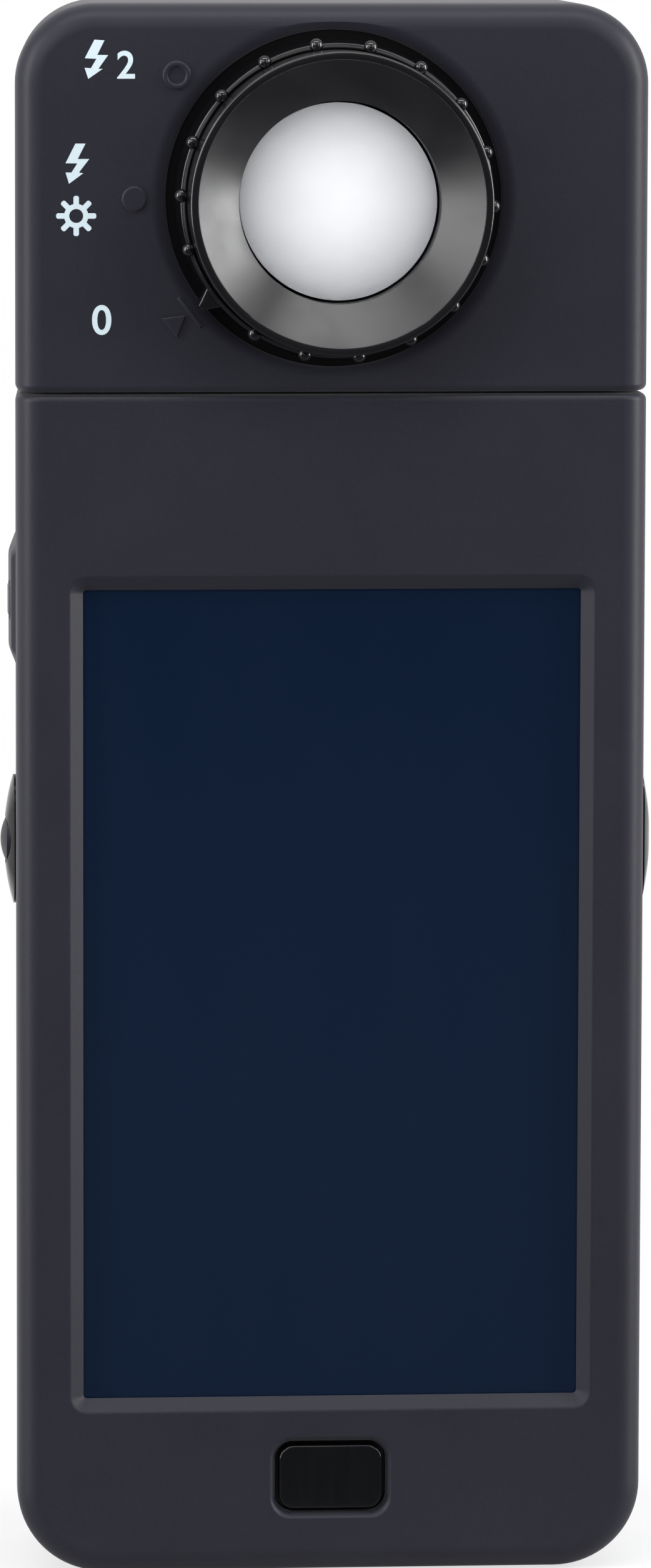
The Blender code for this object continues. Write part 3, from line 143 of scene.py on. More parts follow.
world = bpy.data.worlds.new("studio_room")
bpy.context.scene.world = world
tree = open_tree(world)
place = add_node(tree, "ShaderNodeTexCoord")
parts = add_node(tree, "ShaderNodeSeparateXYZ", {0: place.outputs["Generated"]})
behind = add_node(tree, "ShaderNodeMapRange", {
    "Value": parts.outputs["Y"], "From Min": backdrop_from, "From Max": backdrop_to,
    "To Min": 0.0, "To Max": backdrop_gloss})
path = add_node(tree, "ShaderNodeLightPath")
front = add_node(tree, "ShaderNodeMixRGB", {
    "Fac": path.outputs["Is Diffuse Ray"],
    "Color1": (room_grey, room_grey, room_grey * room_tint, 1),
    "Color2": (room_fill, room_fill, room_fill * room_tint, 1)})
depth = add_node(tree, "ShaderNodeMixRGB", {
    "Fac": behind, "Color1": front,
    "Color2": (backdrop_grey, backdrop_grey, backdrop_grey * backdrop_tint, 1)})
room = add_node(tree, "ShaderNodeBackground", {"Color": depth})
white = add_node(tree, "ShaderNodeBackground", {"Color": (1, 1, 1, 1)})
mixed = add_node(tree, "ShaderNodeMixShader", {0: see_white(tree, behind), 1: room, 2: white})
add_node(tree, "ShaderNodeOutputWorld", {"Surface": mixed})

# Floor. A sheet of matt white laminate, bright near the backdrop, that keeps the soft shadow at
# the foot. Towards the camera it runs out into the dim room, and further away it turns to white.
floor_drop = 0.0002
floor_size = 6.0
floor_glow_near, floor_glow_far = 0.70, 0.99
floor_fill = 0.50
floor_from, floor_to = -0.06, 0.10
mottle_scale = 3.0
shadow_near, shadow_far = 0.06, 0.40


def start_material(name):
    """New material with its node tree, and the Object coordinates in it."""
    material = bpy.data.materials.new(name)
    tree = open_tree(material)
    return material, tree, add_node(tree, "ShaderNodeTexCoord").outputs["Object"]


bpy.ops.mesh.primitive_plane_add(size=floor_size, location=(0, 0, -floor_drop))
bpy.ops.object.transform_apply(location=True)
floor = bpy.context.object
floor.name = "floor"
laminate, tree, place = start_material("white_laminate")
parts = add_node(tree, "ShaderNodeSeparateXYZ", {0: place})
behind = add_node(tree, "ShaderNodeMapRange", {
    "Value": parts.outputs["Y"], "From Min": floor_from, "From Max": floor_to,
    "To Min": 0.0, "To Max": backdrop_gloss})
mottle = add_node(tree, "ShaderNodeTexNoise", {"Vector": place, "Scale": mottle_scale})
tone = add_node(tree, "ShaderNodeMixRGB", {
    "Fac": mottle, "Color1": colour("444446"), "Color2": colour("48484a")})
shown = see_white(tree, behind)
path = add_node(tree, "ShaderNodeLightPath")
fill = add_node(tree, "ShaderNodeMath", {
    0: path.outputs["Is Diffuse Ray"], 1: floor_fill}, operation="MULTIPLY")
paleness = add_node(tree, "ShaderNodeMath", {0: shown, 1: fill}, operation="MAXIMUM")
pale = add_node(tree, "ShaderNodeMixRGB", {
    "Fac": paleness, "Color1": tone, "Color2": colour("e6e6e8")})
sheet = add_node(tree, "ShaderNodeBsdfDiffuse", {"Color": pale})
glow = add_node(tree, "ShaderNodeEmission", {"Color": (1, 1, 1, 1)})
away = add_node(tree, "ShaderNodeVectorMath", {0: place}, operation="LENGTH")
strength = add_node(tree, "ShaderNodeMapRange", {
    "Value": away.outputs["Value"], "From Min": shadow_near, "From Max": shadow_far,
    "To Min": floor_glow_near, "To Max": floor_glow_far}, interpolation_type="SMOOTHSTEP")
share = add_node(tree, "ShaderNodeMath", {0: shown, 1: strength}, operation="MULTIPLY")
lit = add_node(tree, "ShaderNodeMixShader", {0: share, 1: sheet, 2: glow})
add_node(tree, "ShaderNodeOutputMaterial", {"Surface": lit})
floor.data.materials.append(laminate)

# Front shell of the body. Injection-moulded ABS, 2 mm thick, sprayed with a soft-touch charcoal
# coat. The window has sloping sides and the home opening a rolled lip. Four pillars behind the
# front take the case screws.
near = 0.00002
weld = 0.000001
sharp_turn = 30
overrun = 0.001
fit_gap = 0.0003
case_wall = 0.002
foot_corner = 0.010
front_fillet = 0.003
seam_round = 0.0008
corner_steps = 20
fillet_steps = 10
opening_steps = 12
small_steps = 8
seam_steps = 5
rim_steps = 4
bevel_steps = 3
small_sides = 24
pillar_radius = 0.003
pilot_radius = 0.0013
pilot_depth = 0.0094
screw_inset = 0.0075
screw_low = 0.0084
screw_drop = 0.0065
window_half_x = 0.03047
window_low, window_high = 0.01922, 0.11712
window_slope = 0.00161
window_depth = 0.0011
window_round = 0.0004
window_roll = 0.0004
roll_steps = 4
pocket_corner = 0.0016
pocket_margin = 0.0017
home_half_x, home_half_z = 0.00605, 0.00378
home_z = 0.0113
home_corner = 0.0017
home_gap = 0.00045
lip_depth = 0.0009
lip_round = 0.00035
lip_slope = 60
lip_steps = 5


def open_piece(piece):
    """Make a piece the only selected one and enter edit mode."""
    bpy.ops.object.select_all(action="DESELECT")
    piece.select_set(True)
    bpy.context.view_layer.objects.active = piece
    bpy.ops.object.mode_set(mode="EDIT")


def choose(piece, parts, wanted):
    """Open a piece with only the edges or faces selected whose corners pass a test."""
    open_piece(piece)
    bpy.ops.mesh.select_mode(type={"edges": "EDGE", "faces": "FACE"}[parts])
    bpy.ops.mesh.select_all(action="DESELECT")
    sheet = bmesh.from_edit_mesh(piece.data)
    for part in getattr(sheet, parts):
        if wanted([corner.co for corner in part.verts]):
            part.select_set(True)
    bmesh.update_edit_mesh(piece.data)


def lie(corners, **places):
    """Whether all corners have these coordinates."""
    return all(abs(getattr(corner, axis) - place) < near
               for corner in corners for axis, place in places.items())


def add_block(name, low, high):
    """Cube between two corners, with its place in its mesh."""
    low, high = Vector(low), Vector(high)
    bpy.ops.object.select_all(action="DESELECT")
    bpy.ops.mesh.primitive_cube_add(size=1, location=(low + high) / 2, scale=high - low)
    bpy.ops.object.transform_apply(location=True, rotation=True, scale=True)
    piece = bpy.context.object
    piece.name = name
    return piece


def round_edges(piece, radius, steps, wanted):
    """Bevel the chosen edges to a radius."""
    choose(piece, "edges", wanted)
    bpy.ops.mesh.bevel(offset=radius, segments=steps, affect="EDGES")
    bpy.ops.object.mode_set(mode="OBJECT")


def round_corners(piece, along, radius, steps):
    """Bevel all the edges that run along one axis."""
    round_edges(piece, radius, steps,
                lambda corners: (corners[0] - corners[1]).length - near
                < abs(getattr(corners[0] - corners[1], along)))


def extrude_cap(piece, towards, steps):
    """Extrude the end cap that lies furthest towards an axis such as "-y".

    Each step is how far the new cap lies beyond the first one, and its half sizes.
    """
    sign = {"+": 1, "-": -1}[towards[0]]
    along = "xyz".index(towards[1])
    others = [axis for axis in range(3) if axis != along]
    end = sign * max(sign * vertex.co[along] for vertex in piece.data.vertices)
    cap = [vertex.co for vertex in piece.data.vertices if abs(vertex.co[along] - end) < near]
    spans = [(min(corner[axis] for corner in cap), max(corner[axis] for corner in cap))
             for axis in range(3)]
    centre = Vector([(low + high) / 2 for low, high in spans])
    halves = [(spans[axis][1] - spans[axis][0]) / 2 for axis in others]
    reached = 0
    choose(piece, "faces",
           lambda corners: all(abs(corner[along] - end) < near for corner in corners))
    for rise, *sizes in steps:
        shift = Vector((0, 0, 0))
        shift[along] = sign * (rise - reached)
        bpy.ops.mesh.extrude_region_move(TRANSFORM_OT_translate={"value": shift})
        factors = Vector((1, 1, 1))
        for axis, size, half in zip(others, sizes, halves):
            factors[axis] = size / half
        centre += shift
        bpy.ops.transform.resize(value=factors, center_override=centre)
        halves, reached = sizes, rise
    bpy.ops.object.mode_set(mode="OBJECT")


def add_rod(name, radius, start, end, sides=48):
    """Cylinder between two points."""
    start, end = Vector(start), Vector(end)
    turn = (end - start).to_track_quat("Z", "Y").to_euler()
    bpy.ops.object.select_all(action="DESELECT")
    bpy.ops.mesh.primitive_cylinder_add(vertices=sides, radius=radius, depth=(end - start).length,
                                        location=(start + end) / 2, rotation=turn)
    bpy.ops.object.transform_apply(location=True, rotation=True, scale=True)
    piece = bpy.context.object
    piece.name = name
    return piece


def carve(piece, *tools, operation="DIFFERENCE"):
    """Take tools out of a piece, or add them with UNION, and drop them."""
    for tool in tools:
        modifier = piece.modifiers.new(tool.name, "BOOLEAN")
        modifier.operation = operation
        modifier.solver = "EXACT"
        modifier.object = tool
        with bpy.context.temp_override(object=piece, active_object=piece):
            bpy.ops.object.modifier_apply(modifier=modifier.name)
        bpy.data.objects.remove(tool)
    return piece


def finish(piece, material, body, slot, *nodes):
    """Shade a piece smooth, give it its material and tie it to the CAD."""
    open_piece(piece)
    bpy.ops.mesh.select_all(action="SELECT")
    bpy.ops.mesh.remove_doubles(threshold=weld)
    bpy.ops.mesh.dissolve_degenerate(threshold=weld)
    bpy.ops.object.mode_set(mode="OBJECT")
    bpy.ops.object.shade_smooth_by_angle(angle=math.radians(sharp_turn))
    even = piece.modifiers.new("even_shading", "WEIGHTED_NORMAL")
    even.keep_sharp = True
    bpy.ops.object.modifier_apply(modifier=even.name)
    piece.data.materials.clear()
    piece.data.materials.append(material)
    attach(piece, body)
    if nodes:
        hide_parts(*nodes)
    return piece


def soft_touch_coat():
    """Charcoal soft-touch paint on ABS: a velvety matte skin with a fine even grain."""
    material, tree, place = start_material("soft_touch_coat")
    grain_mm = 0.16
    cloud_mm = 14
    grain = add_node(tree, "ShaderNodeTexNoise", {
        "Vector": place, "Scale": 1000 / grain_mm, "Detail": 3.0})
    cloud = add_node(tree, "ShaderNodeTexNoise", {
        "Vector": place, "Scale": 1000 / cloud_mm, "Detail": 4.0})
    base = add_node(tree, "ShaderNodeMixRGB", {
        "Fac": cloud, "Color1": colour("1b1b25"), "Color2": colour("21212c")})
    speck = add_node(tree, "ShaderNodeMapRange", {
        "Value": grain, "From Min": 0.3, "From Max": 0.7, "To Min": 0.86, "To Max": 1.14})
    tint = add_node(tree, "ShaderNodeVectorMath", {0: base, 1: speck}, operation="MULTIPLY")
    rough = add_node(tree, "ShaderNodeMapRange", {"Value": cloud, "To Min": 0.42, "To Max": 0.50})
    bump = add_node(tree, "ShaderNodeBump", {
        "Height": grain, "Strength": 0.35, "Distance": 0.00003})
    shader = add_node(tree, "ShaderNodeBsdfPrincipled", {
        "Base Color": tint, "Roughness": rough, "Normal": bump, "Sheen Weight": 0.10,
        "Sheen Roughness": 0.5, "Specular IOR Level": 0.3})
    add_node(tree, "ShaderNodeOutputMaterial", {"Surface": shader})
    return material


coat = soft_touch_coat()
body_low, body_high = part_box("body_front_shell")
face_y = body_low.y
half_width = body_high.x
body_top = body_high.z
split_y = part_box("body_rear_shell")[0].y
back_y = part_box("body_rear_shell")[1].y
pillar_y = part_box("body_front_shell")[1].y
screw_places = [Vector((side * (half_width - screw_inset), 0, z))
                for z in (screw_low, body_top - screw_drop) for side in (-1, 1)]


def add_front_half(name, low_z, high_z, corner, corner_z, seam_z):
    """Shallow tray with rounded far corners, a rolled front edge and a small round at the seam."""
    open_y = split_y - fit_gap
    tray = add_block(name, (-half_width, face_y, low_z), (half_width, open_y, high_z))
    round_edges(tray, corner, corner_steps,
                lambda ends: lie(ends, z=corner_z, x=-half_width)
                or lie(ends, z=corner_z, x=half_width))
    round_edges(tray, front_fillet, fillet_steps,
                lambda ends: lie(ends, y=face_y) and not lie(ends, y=face_y, z=seam_z))
    round_edges(tray, seam_round, seam_steps,
                lambda ends: lie(ends, z=seam_z) and not lie(ends, z=seam_z, y=open_y))
    hollow = add_block("hollow", (case_wall - half_width, face_y + case_wall, low_z + case_wall),
                       (half_width - case_wall, open_y + overrun, high_z - case_wall))
    inner_z = corner_z + math.copysign(case_wall, seam_z - corner_z)
    round_edges(hollow, corner - case_wall, corner_steps,
                lambda ends: lie(ends, z=inner_z, x=case_wall - half_width)
                or lie(ends, z=inner_z, x=half_width - case_wall))
    return carve(tray, hollow)


def add_pillars(tray, places):
    """Screw pillars with their pilot holes."""
    for spot in places:
        foot = Vector((spot.x, face_y + case_wall / 2, spot.z))
        tip = Vector((spot.x, pillar_y, spot.z))
        carve(tray, add_rod("pillar", pillar_radius, foot, tip), operation="UNION")
        carve(tray, add_rod("pilot", pilot_radius, tip - Vector((0, pilot_depth, 0)),
                            tip + Vector((0, overrun, 0)), small_sides))
    return tray


body_front = add_front_half("body_front", body_low.z, body_top, foot_corner, body_low.z, body_top)
inner_x = window_half_x - window_slope
window_mid = (window_low + window_high) / 2
window_half_z = (window_high - window_low) / 2
inner_z = window_half_z - window_slope
roll_run = window_roll / roll_steps
roll_turns = [math.atan2(window_depth, window_slope) * (step + 0.5) / roll_steps
              for step in range(roll_steps)]
roll_in = sum(roll_run * math.cos(turn) for turn in roll_turns)
roll_down = sum(roll_run * math.sin(turn) for turn in roll_turns)
slope_left = (window_depth - roll_down) / window_depth
outer_x = inner_x + window_slope * slope_left + roll_in
outer_z = inner_z + window_slope * slope_left + roll_in
window_tool = add_block("window", (-outer_x, face_y - overrun, window_mid - outer_z),
                        (outer_x, face_y, window_mid + outer_z))
round_corners(window_tool, "y", outer_x - inner_x + window_round, opening_steps)
choose(window_tool, "faces", lambda corners: lie(corners, y=face_y))
for turn in roll_turns:
    bpy.ops.mesh.inset(thickness=roll_run * math.cos(turn), depth=roll_run * math.sin(turn))
bpy.ops.mesh.inset(thickness=window_slope * slope_left, depth=window_depth - roll_down)
bpy.ops.mesh.extrude_region_move(
    TRANSFORM_OT_translate={"value": (0, case_wall + overrun - window_depth, 0)})
bpy.ops.object.mode_set(mode="OBJECT")
pocket_half_x, pocket_half_z = inner_x + pocket_margin, inner_z + pocket_margin
pocket = add_block("pocket", (-pocket_half_x, face_y + window_depth, window_mid - pocket_half_z),
                   (pocket_half_x, face_y + case_wall + overrun, window_mid + pocket_half_z))
round_corners(pocket, "y", pocket_corner, small_steps)
opening_half_x, opening_half_z = home_half_x + home_gap, home_half_z + home_gap
home_tool = add_block("home_opening",
                      (-opening_half_x, face_y + lip_depth, home_z - opening_half_z),
                      (opening_half_x, face_y + case_wall + overrun, home_z + opening_half_z))
round_corners(home_tool, "y", home_corner + home_gap, fillet_steps)
lip_turns = [math.radians(lip_slope * (1 - step / lip_steps)) for step in range(lip_steps + 1)]
lip_wide = (home_gap + lip_round * math.sin(lip_turns[0])
            + (lip_depth - lip_round * (1 - math.cos(lip_turns[0]))) / math.tan(lip_turns[0]))
extrude_cap(home_tool, "-y", [(lip_depth - lip_round * (1 - math.cos(turn)),
                               home_half_x + lip_wide - lip_round * math.sin(turn),
                               home_half_z + lip_wide - lip_round * math.sin(turn))
                              for turn in lip_turns]
            + [(lip_depth + overrun, home_half_x + lip_wide, home_half_z + lip_wide)])
carve(body_front, window_tool, pocket, home_tool)
add_pillars(body_front, screw_places)
finish(body_front, coat, "body", "case_plastic", "body_front_shell")

# Touch glass. Chemically toughened cover glass, 1.1 mm thick, bonded over the display and coated
# against reflections, so it looks deep navy when the display is off. Wipe marks change its gloss.
def touch_glass():
    """Dark navy glass with a polished face."""
    material, tree, place = start_material("touch_glass_over_dark_display")
    wipe_mm = 9
    stretch = add_node(tree, "ShaderNodeMapping", {
        "Vector": place, "Rotation": (0, math.radians(24), 0), "Scale": (1, 1, 0.25)})
    wipe = add_node(tree, "ShaderNodeTexNoise", {
        "Vector": stretch, "Scale": 1000 / wipe_mm, "Detail": 5.0})
    depth = add_node(tree, "ShaderNodeMixRGB", {
        "Fac": wipe, "Color1": colour("08162a"), "Color2": colour("0a182c")})
    rough = add_node(tree, "ShaderNodeMapRange", {
        "Value": wipe, "From Min": 0.35, "From Max": 0.7, "To Min": 0.03, "To Max": 0.10})
    shader = add_node(tree, "ShaderNodeBsdfPrincipled", {
        "Base Color": depth, "Roughness": rough, "IOR": 1.52, "Specular IOR Level": 0.42})
    add_node(tree, "ShaderNodeOutputMaterial", {"Surface": shader})
    return material


def dress(material, *nodes):
    """Give CAD nodes that keep their shape a finer material."""
    for node in nodes:
        for slot in frame["nodes"][node].material_slots:
            slot.material = material


dress(touch_glass(), "touch_glass")

# Display module. A liquid crystal panel in a black frame, with its backlight foil behind. It lies
# under the touch glass, and its pixel grid is drawn coarse enough to show.
display, tree, place = start_material("display_panel_in_black_frame")
pixel_mm = 0.4
cells = add_node(tree, "ShaderNodeTexBrick", {
    "Vector": place, "Color1": colour("10151c"), "Color2": colour("131922"),
    "Mortar": colour("07090c"), "Scale": 1000 / pixel_mm, "Mortar Size": 0.08})
shader = add_node(tree, "ShaderNodeBsdfPrincipled", {
    "Base Color": cells.outputs["Color"], "Roughness": 0.22})
add_node(tree, "ShaderNodeOutputMaterial", {"Surface": shader})
dress(display, "display_module")

# Main board and sensor board. Glass-epoxy boards with green solder resist, whose copper tracks
# show as paler lines.
track_mm = 1.6
weave_mm = 0.5
board_finish, tree, place = start_material("green_solder_resist")
tracks = add_node(tree, "ShaderNodeTexBrick", {
    "Vector": place, "Color1": colour("0f4a2c"), "Color2": colour("13573a"),
    "Mortar": colour("2c7a4c"), "Scale": 1000 / track_mm, "Mortar Size": 0.05, "Brick Width": 1.7})
weave = add_node(tree, "ShaderNodeTexNoise", {"Vector": place, "Scale": 1000 / weave_mm})
bump = add_node(tree, "ShaderNodeBump", {
    "Height": tracks.outputs["Fac"], "Strength": 0.3, "Distance": 0.00003})
rough = add_node(tree, "ShaderNodeMapRange", {"Value": weave, "To Min": 0.3, "To Max": 0.5})
shader = add_node(tree, "ShaderNodeBsdfPrincipled", {
    "Base Color": tracks.outputs["Color"], "Roughness": rough, "Normal": bump})
add_node(tree, "ShaderNodeOutputMaterial", {"Surface": shader})
dress(board_finish, "main_board", "sensor_board")

# Buzzer, battery tray, optical bench, receptor base, aperture disc, sensor package and cable
# sleeve. Matt black nylon and phenolic mouldings with a sandy moulded face that kills stray light.
dark_grit_mm = 0.25
dark_moulding, tree, place = start_material("matt_black_moulding")
grit = add_node(tree, "ShaderNodeTexNoise", {
    "Vector": place, "Scale": 1000 / dark_grit_mm, "Detail": 3.0})
tone = add_node(tree, "ShaderNodeMixRGB", {
    "Fac": grit, "Color1": colour("151517"), "Color2": colour("212123")})
bump = add_node(tree, "ShaderNodeBump", {"Height": grit, "Strength": 0.4, "Distance": 0.00004})
shader = add_node(tree, "ShaderNodeBsdfPrincipled", {
    "Base Color": tone, "Roughness": 0.62, "Normal": bump})
add_node(tree, "ShaderNodeOutputMaterial", {"Surface": shader})
dress(dark_moulding, "buzzer", "battery_tray", "optical_bench", "receptor_base", "aperture_disc",
      "line_sensor", "neck_cable")

# Home button. A black cap polished like piano lacquer, flanged behind the front wall, 0.2 mm
# below the face. Its rounded rim draws a thin bright line.
home_sink = 0.0002
home_rim = 0.00035
flange_grow = 0.0007
flange_depth = 0.0008


def add_flange(piece, towards, half_across, half_along):
    """Flange round the inner end of a key, which keeps it from falling out."""
    extrude_cap(piece, towards, [(rise, half_across + flange_grow, half_along + flange_grow)
                                 for rise in (0, flange_depth)])


def piano_black():
    """Black ABS from a polished mould: deep gloss with hairline wipe marks."""
    material, tree, place = start_material("piano_black_moulding")
    hairline_mm = 0.9
    stretch = add_node(tree, "ShaderNodeMapping", {"Vector": place, "Scale": (1, 1, 0.15)})
    hairline = add_node(tree, "ShaderNodeTexNoise", {
        "Vector": stretch, "Scale": 1000 / hairline_mm, "Detail": 6.0})
    tone = add_node(tree, "ShaderNodeMixRGB", {
        "Fac": hairline, "Color1": colour("08090b"), "Color2": colour("0c0d10")})
    rough = add_node(tree, "ShaderNodeMapRange", {
        "Value": hairline, "From Min": 0.3, "From Max": 0.7, "To Min": 0.08, "To Max": 0.20})
    shader = add_node(tree, "ShaderNodeBsdfPrincipled", {
        "Base Color": tone, "Roughness": rough, "Specular IOR Level": 0.4})
    add_node(tree, "ShaderNodeOutputMaterial", {"Surface": shader})
    return material


gloss = piano_black()
flange_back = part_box("home_button")[1].y
home_button = add_block("home_button_cap", (-home_half_x, face_y + home_sink, home_z - home_half_z),
                        (home_half_x, flange_back - flange_depth, home_z + home_half_z))
round_corners(home_button, "y", home_corner, fillet_steps)
add_flange(home_button, "+y", home_half_x, home_half_z)
round_edges(home_button, home_rim, rim_steps, lambda ends: lie(ends, y=face_y + home_sink))
finish(home_button, gloss, "home_key", "gloss_black", "home_button")

# Rear shell of the body. The deep half of the case, with drafted sides and soft back edges. It
# has the battery opening, the openings for keys and ports, the raised pad of the power key, the
# seat of the tripod bush and the notch for the wrist strap.
rear_wall = 0.0022
side_draft = 0.0009
back_fillet = 0.006
draft_margin = 0.0002
seat_depth = 0.010
counterbore_radius = 0.0022
pad_half_y, pad_half_z = 0.0036, 0.0056
pad_ramp = 0.0020
pad_proud = 0.0008
pad_corner = 0.0012
pad_round = 0.0004
power_z = sum(corner.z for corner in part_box("power_button")) / 2
power_half_y, power_half_z = 0.0025, 0.00188
power_corner = 0.0007
key_half_y, key_half_z = 0.0036, 0.00745
bezel_half_z = 0.00755
fine_sides = 64
pad_steps = 6
tripod_radius = 0.0050
tripod_wall = 0.0040
tripod_floor = 0.0105
swivel_hole = 0.0072
strap_z = 0.0250
strap_notch_radius = 0.0042
strap_bar_radius = 0.0048
strap_bar_bite = 0.0012
strap_half_length = 0.0035
strap_pin_radius = 0.0008


def add_drafted(name, half_x, open_y, bottom_y, low_z, high_z, corner, corner_z, fillet, seam_z):
    """Block that narrows towards the back, with rounded far corners and back edges."""
    straight_y = bottom_y - fillet - draft_margin
    block = add_block(name, (-half_x, open_y, low_z), (half_x, straight_y, high_z))
    choose(block, "faces", lambda corners: lie(corners, y=straight_y))
    bpy.ops.transform.resize(value=((half_x - side_draft) / half_x, 1, 1),
                             center_override=(0, straight_y, 0))
    bpy.ops.object.mode_set(mode="OBJECT")
    extrude_cap(block, "+y", [(fillet + draft_margin, half_x - side_draft, (high_z - low_z) / 2)])
    round_edges(block, corner, corner_steps,
                lambda ends: lie(ends, z=corner_z) and abs(ends[0].y - ends[1].y) > near)
    round_edges(block, fillet, fillet_steps,
                lambda ends: lie(ends, y=bottom_y) and not lie(ends, y=bottom_y, z=seam_z))
    round_edges(block, seam_round, seam_steps,
                lambda ends: lie(ends, z=seam_z) and not lie(ends, z=seam_z, y=open_y))
    return block


def add_rear_half(name, low_z, high_z, corner, corner_z, seam_z):
    """Deep tray of the case."""
    inner_z = corner_z + math.copysign(case_wall, seam_z - corner_z)
    inner_seam = seam_z - math.copysign(case_wall, seam_z - corner_z)
    tray = add_drafted(name, half_width, split_y, back_y, low_z, high_z, corner, corner_z,
                       back_fillet, seam_z)
    hollow = add_drafted("hollow", half_width - case_wall, split_y - overrun, back_y - rear_wall,
                         low_z + case_wall, high_z - case_wall, corner - case_wall, inner_z,
                         back_fillet - rear_wall, inner_seam)
    return carve(tray, hollow)


def add_screw_tubes(tray, places):
    """Tubes inside the back that the screw heads sink into."""
    seat_y = back_y - seat_depth
    tube_y = pillar_y + fit_gap
    for spot in places:
        carve(tray, add_rod("tube", pillar_radius, (spot.x, tube_y, spot.z),
                            (spot.x, back_y - rear_wall / 2, spot.z)), operation="UNION")
        carve(tray, add_rod("counterbore", counterbore_radius, (spot.x, seat_y, spot.z),
                            (spot.x, back_y + overrun, spot.z)),
              add_rod("clearance", pilot_radius, (spot.x, tube_y - overrun, spot.z),
                      (spot.x, seat_y + overrun, spot.z), small_sides))
    return tray


def side_at(y):
    """Half width of the case at a depth."""
    share = (y - split_y) / (back_y - back_fillet - split_y)
    return half_width - side_draft * min(max(share, 0), 1)


body_rear = add_rear_half("body_rear", body_low.z, body_top, foot_corner, body_low.z, body_top)
side_y = sum(corner.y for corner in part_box("memory_button")) / 2
key_z = sum(corner.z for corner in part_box("memory_button")) / 2
skin_x = side_at(side_y)
pad_foot_y, pad_foot_z = pad_half_y + pad_ramp / 2, pad_half_z + pad_ramp
pad = add_block("pad", (-skin_x, side_y - pad_foot_y, power_z - pad_foot_z),
                (-skin_x + overrun, side_y + pad_foot_y, power_z + pad_foot_z))
round_corners(pad, "x", pad_corner, pad_steps)
extrude_cap(pad, "-x", [(pad_proud, pad_half_y, pad_half_z)])
round_edges(pad, pad_round, rim_steps, lambda ends: lie(ends, x=-skin_x - pad_proud))
tripod_z = sum(corner.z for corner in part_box("tripod_bush")) / 2
bush_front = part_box("tripod_bush")[0].y
tripod_seat = add_rod("tripod_seat", tripod_radius + tripod_wall,
                      (0, back_y - tripod_floor, tripod_z), (0, back_y - rear_wall / 2, tripod_z))
carve(body_rear, pad, tripod_seat, operation="UNION")
add_screw_tubes(body_rear, screw_places)
bay_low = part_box("battery_cover")[0].z - fit_gap
bay_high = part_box("battery_cover")[1].z + fit_gap
bay_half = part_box("battery_tray")[1].x - case_wall / 2
cover_joint = [joint for joint in frame["joints"] if joint["name"] == "cover_swing"][0]
hinge_y, hinge_z = cover_joint["pos_m"][1:]
pin_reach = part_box("battery_cover")[1].x + fit_gap
pin_radius = 0.00045
deep_x = half_width - case_wall - side_draft - overrun
proud_x = skin_x + 2 * overrun
usb_low, usb_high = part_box("usb_cap")
sync_low, sync_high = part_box("sync_cap")
sync_centre = (sync_low + sync_high) / 2
sync_radius = (sync_high.z - sync_low.z) / 2
carve(body_rear,
      add_rod("tripod_hole", tripod_radius + fit_gap, (0, bush_front - fit_gap, tripod_z),
              (0, back_y + overrun, tripod_z), fine_sides),
      add_block("battery_opening", (-bay_half, back_y - rear_wall - overrun, bay_low),
                (bay_half, back_y + overrun, bay_high)),
      add_rod("pin_holes", pin_radius + fit_gap, (-pin_reach, hinge_y, hinge_z),
              (pin_reach, hinge_y, hinge_z), small_sides),
      add_rod("swivel_hole", swivel_hole, (0, 0, body_top - case_wall - overrun),
              (0, 0, body_top + overrun), fine_sides),
      add_rod("sync_opening", sync_radius + fit_gap, (deep_x, sync_centre.y, sync_centre.z),
              (proud_x, sync_centre.y, sync_centre.z), fine_sides))


def add_opening(name, side, y, z, half_y, half_z, corner):
    """Tool for an opening through a side wall, a little wider than what fills it."""
    half_y, half_z, corner = half_y + fit_gap, half_z + fit_gap, corner + fit_gap
    tool = add_block(name, (min(side * deep_x, side * proud_x), y - half_y, z - half_z),
                     (max(side * deep_x, side * proud_x), y + half_y, z + half_z))
    round_corners(tool, "x", corner, opening_steps)
    return tool


carve(body_rear,
      add_opening("measure_opening", 1, side_y, key_z, key_half_y, key_half_z, key_half_y - near),
      add_opening("memory_opening", -1, side_y, key_z, key_half_y, bezel_half_z, key_half_y - near),
      add_opening("power_opening", -1, side_y, power_z, power_half_y, power_half_z, power_corner),
      add_opening("usb_opening", 1, (usb_low.y + usb_high.y) / 2, (usb_low.z + usb_high.z) / 2,
                  (usb_high.y - usb_low.y) / 2, (usb_high.z - usb_low.z) / 2, 0))
fillet_middle = Vector((-(half_width - side_draft - back_fillet), back_y - back_fillet, strap_z))
strap_way = Vector((-math.sqrt(0.5), math.sqrt(0.5), 0))
strap_edge = fillet_middle + strap_way * back_fillet
strap_pin = fillet_middle + strap_way * strap_bar_radius
thick_reach = strap_notch_radius + strap_bar_bite
bar_reach = strap_half_length + strap_bar_bite
thick_half = bar_reach + case_wall / 2
thick_skin = back_fillet - rear_wall / 2
thick = add_block("thick_edge",
                  (fillet_middle.x - thick_skin, strap_edge.y - thick_reach, strap_z - thick_half),
                  (strap_edge.x + thick_reach, fillet_middle.y + thick_skin, strap_z + thick_half))
round_edges(thick, thick_skin, fillet_steps,
            lambda ends: lie(ends, x=fillet_middle.x - thick_skin, y=fillet_middle.y + thick_skin))
carve(body_rear, thick, operation="UNION")
rise = Vector((0, 0, 1))
carve(body_rear,
      add_rod("strap_notch", strap_notch_radius, strap_edge - rise * strap_half_length,
              strap_edge + rise * strap_half_length, fine_sides),
      add_rod("bar_holes", strap_pin_radius + fit_gap, strap_pin - rise * bar_reach,
              strap_pin + rise * bar_reach, small_sides))
finish(body_rear, coat, "body", "case_plastic", "body_rear_shell")

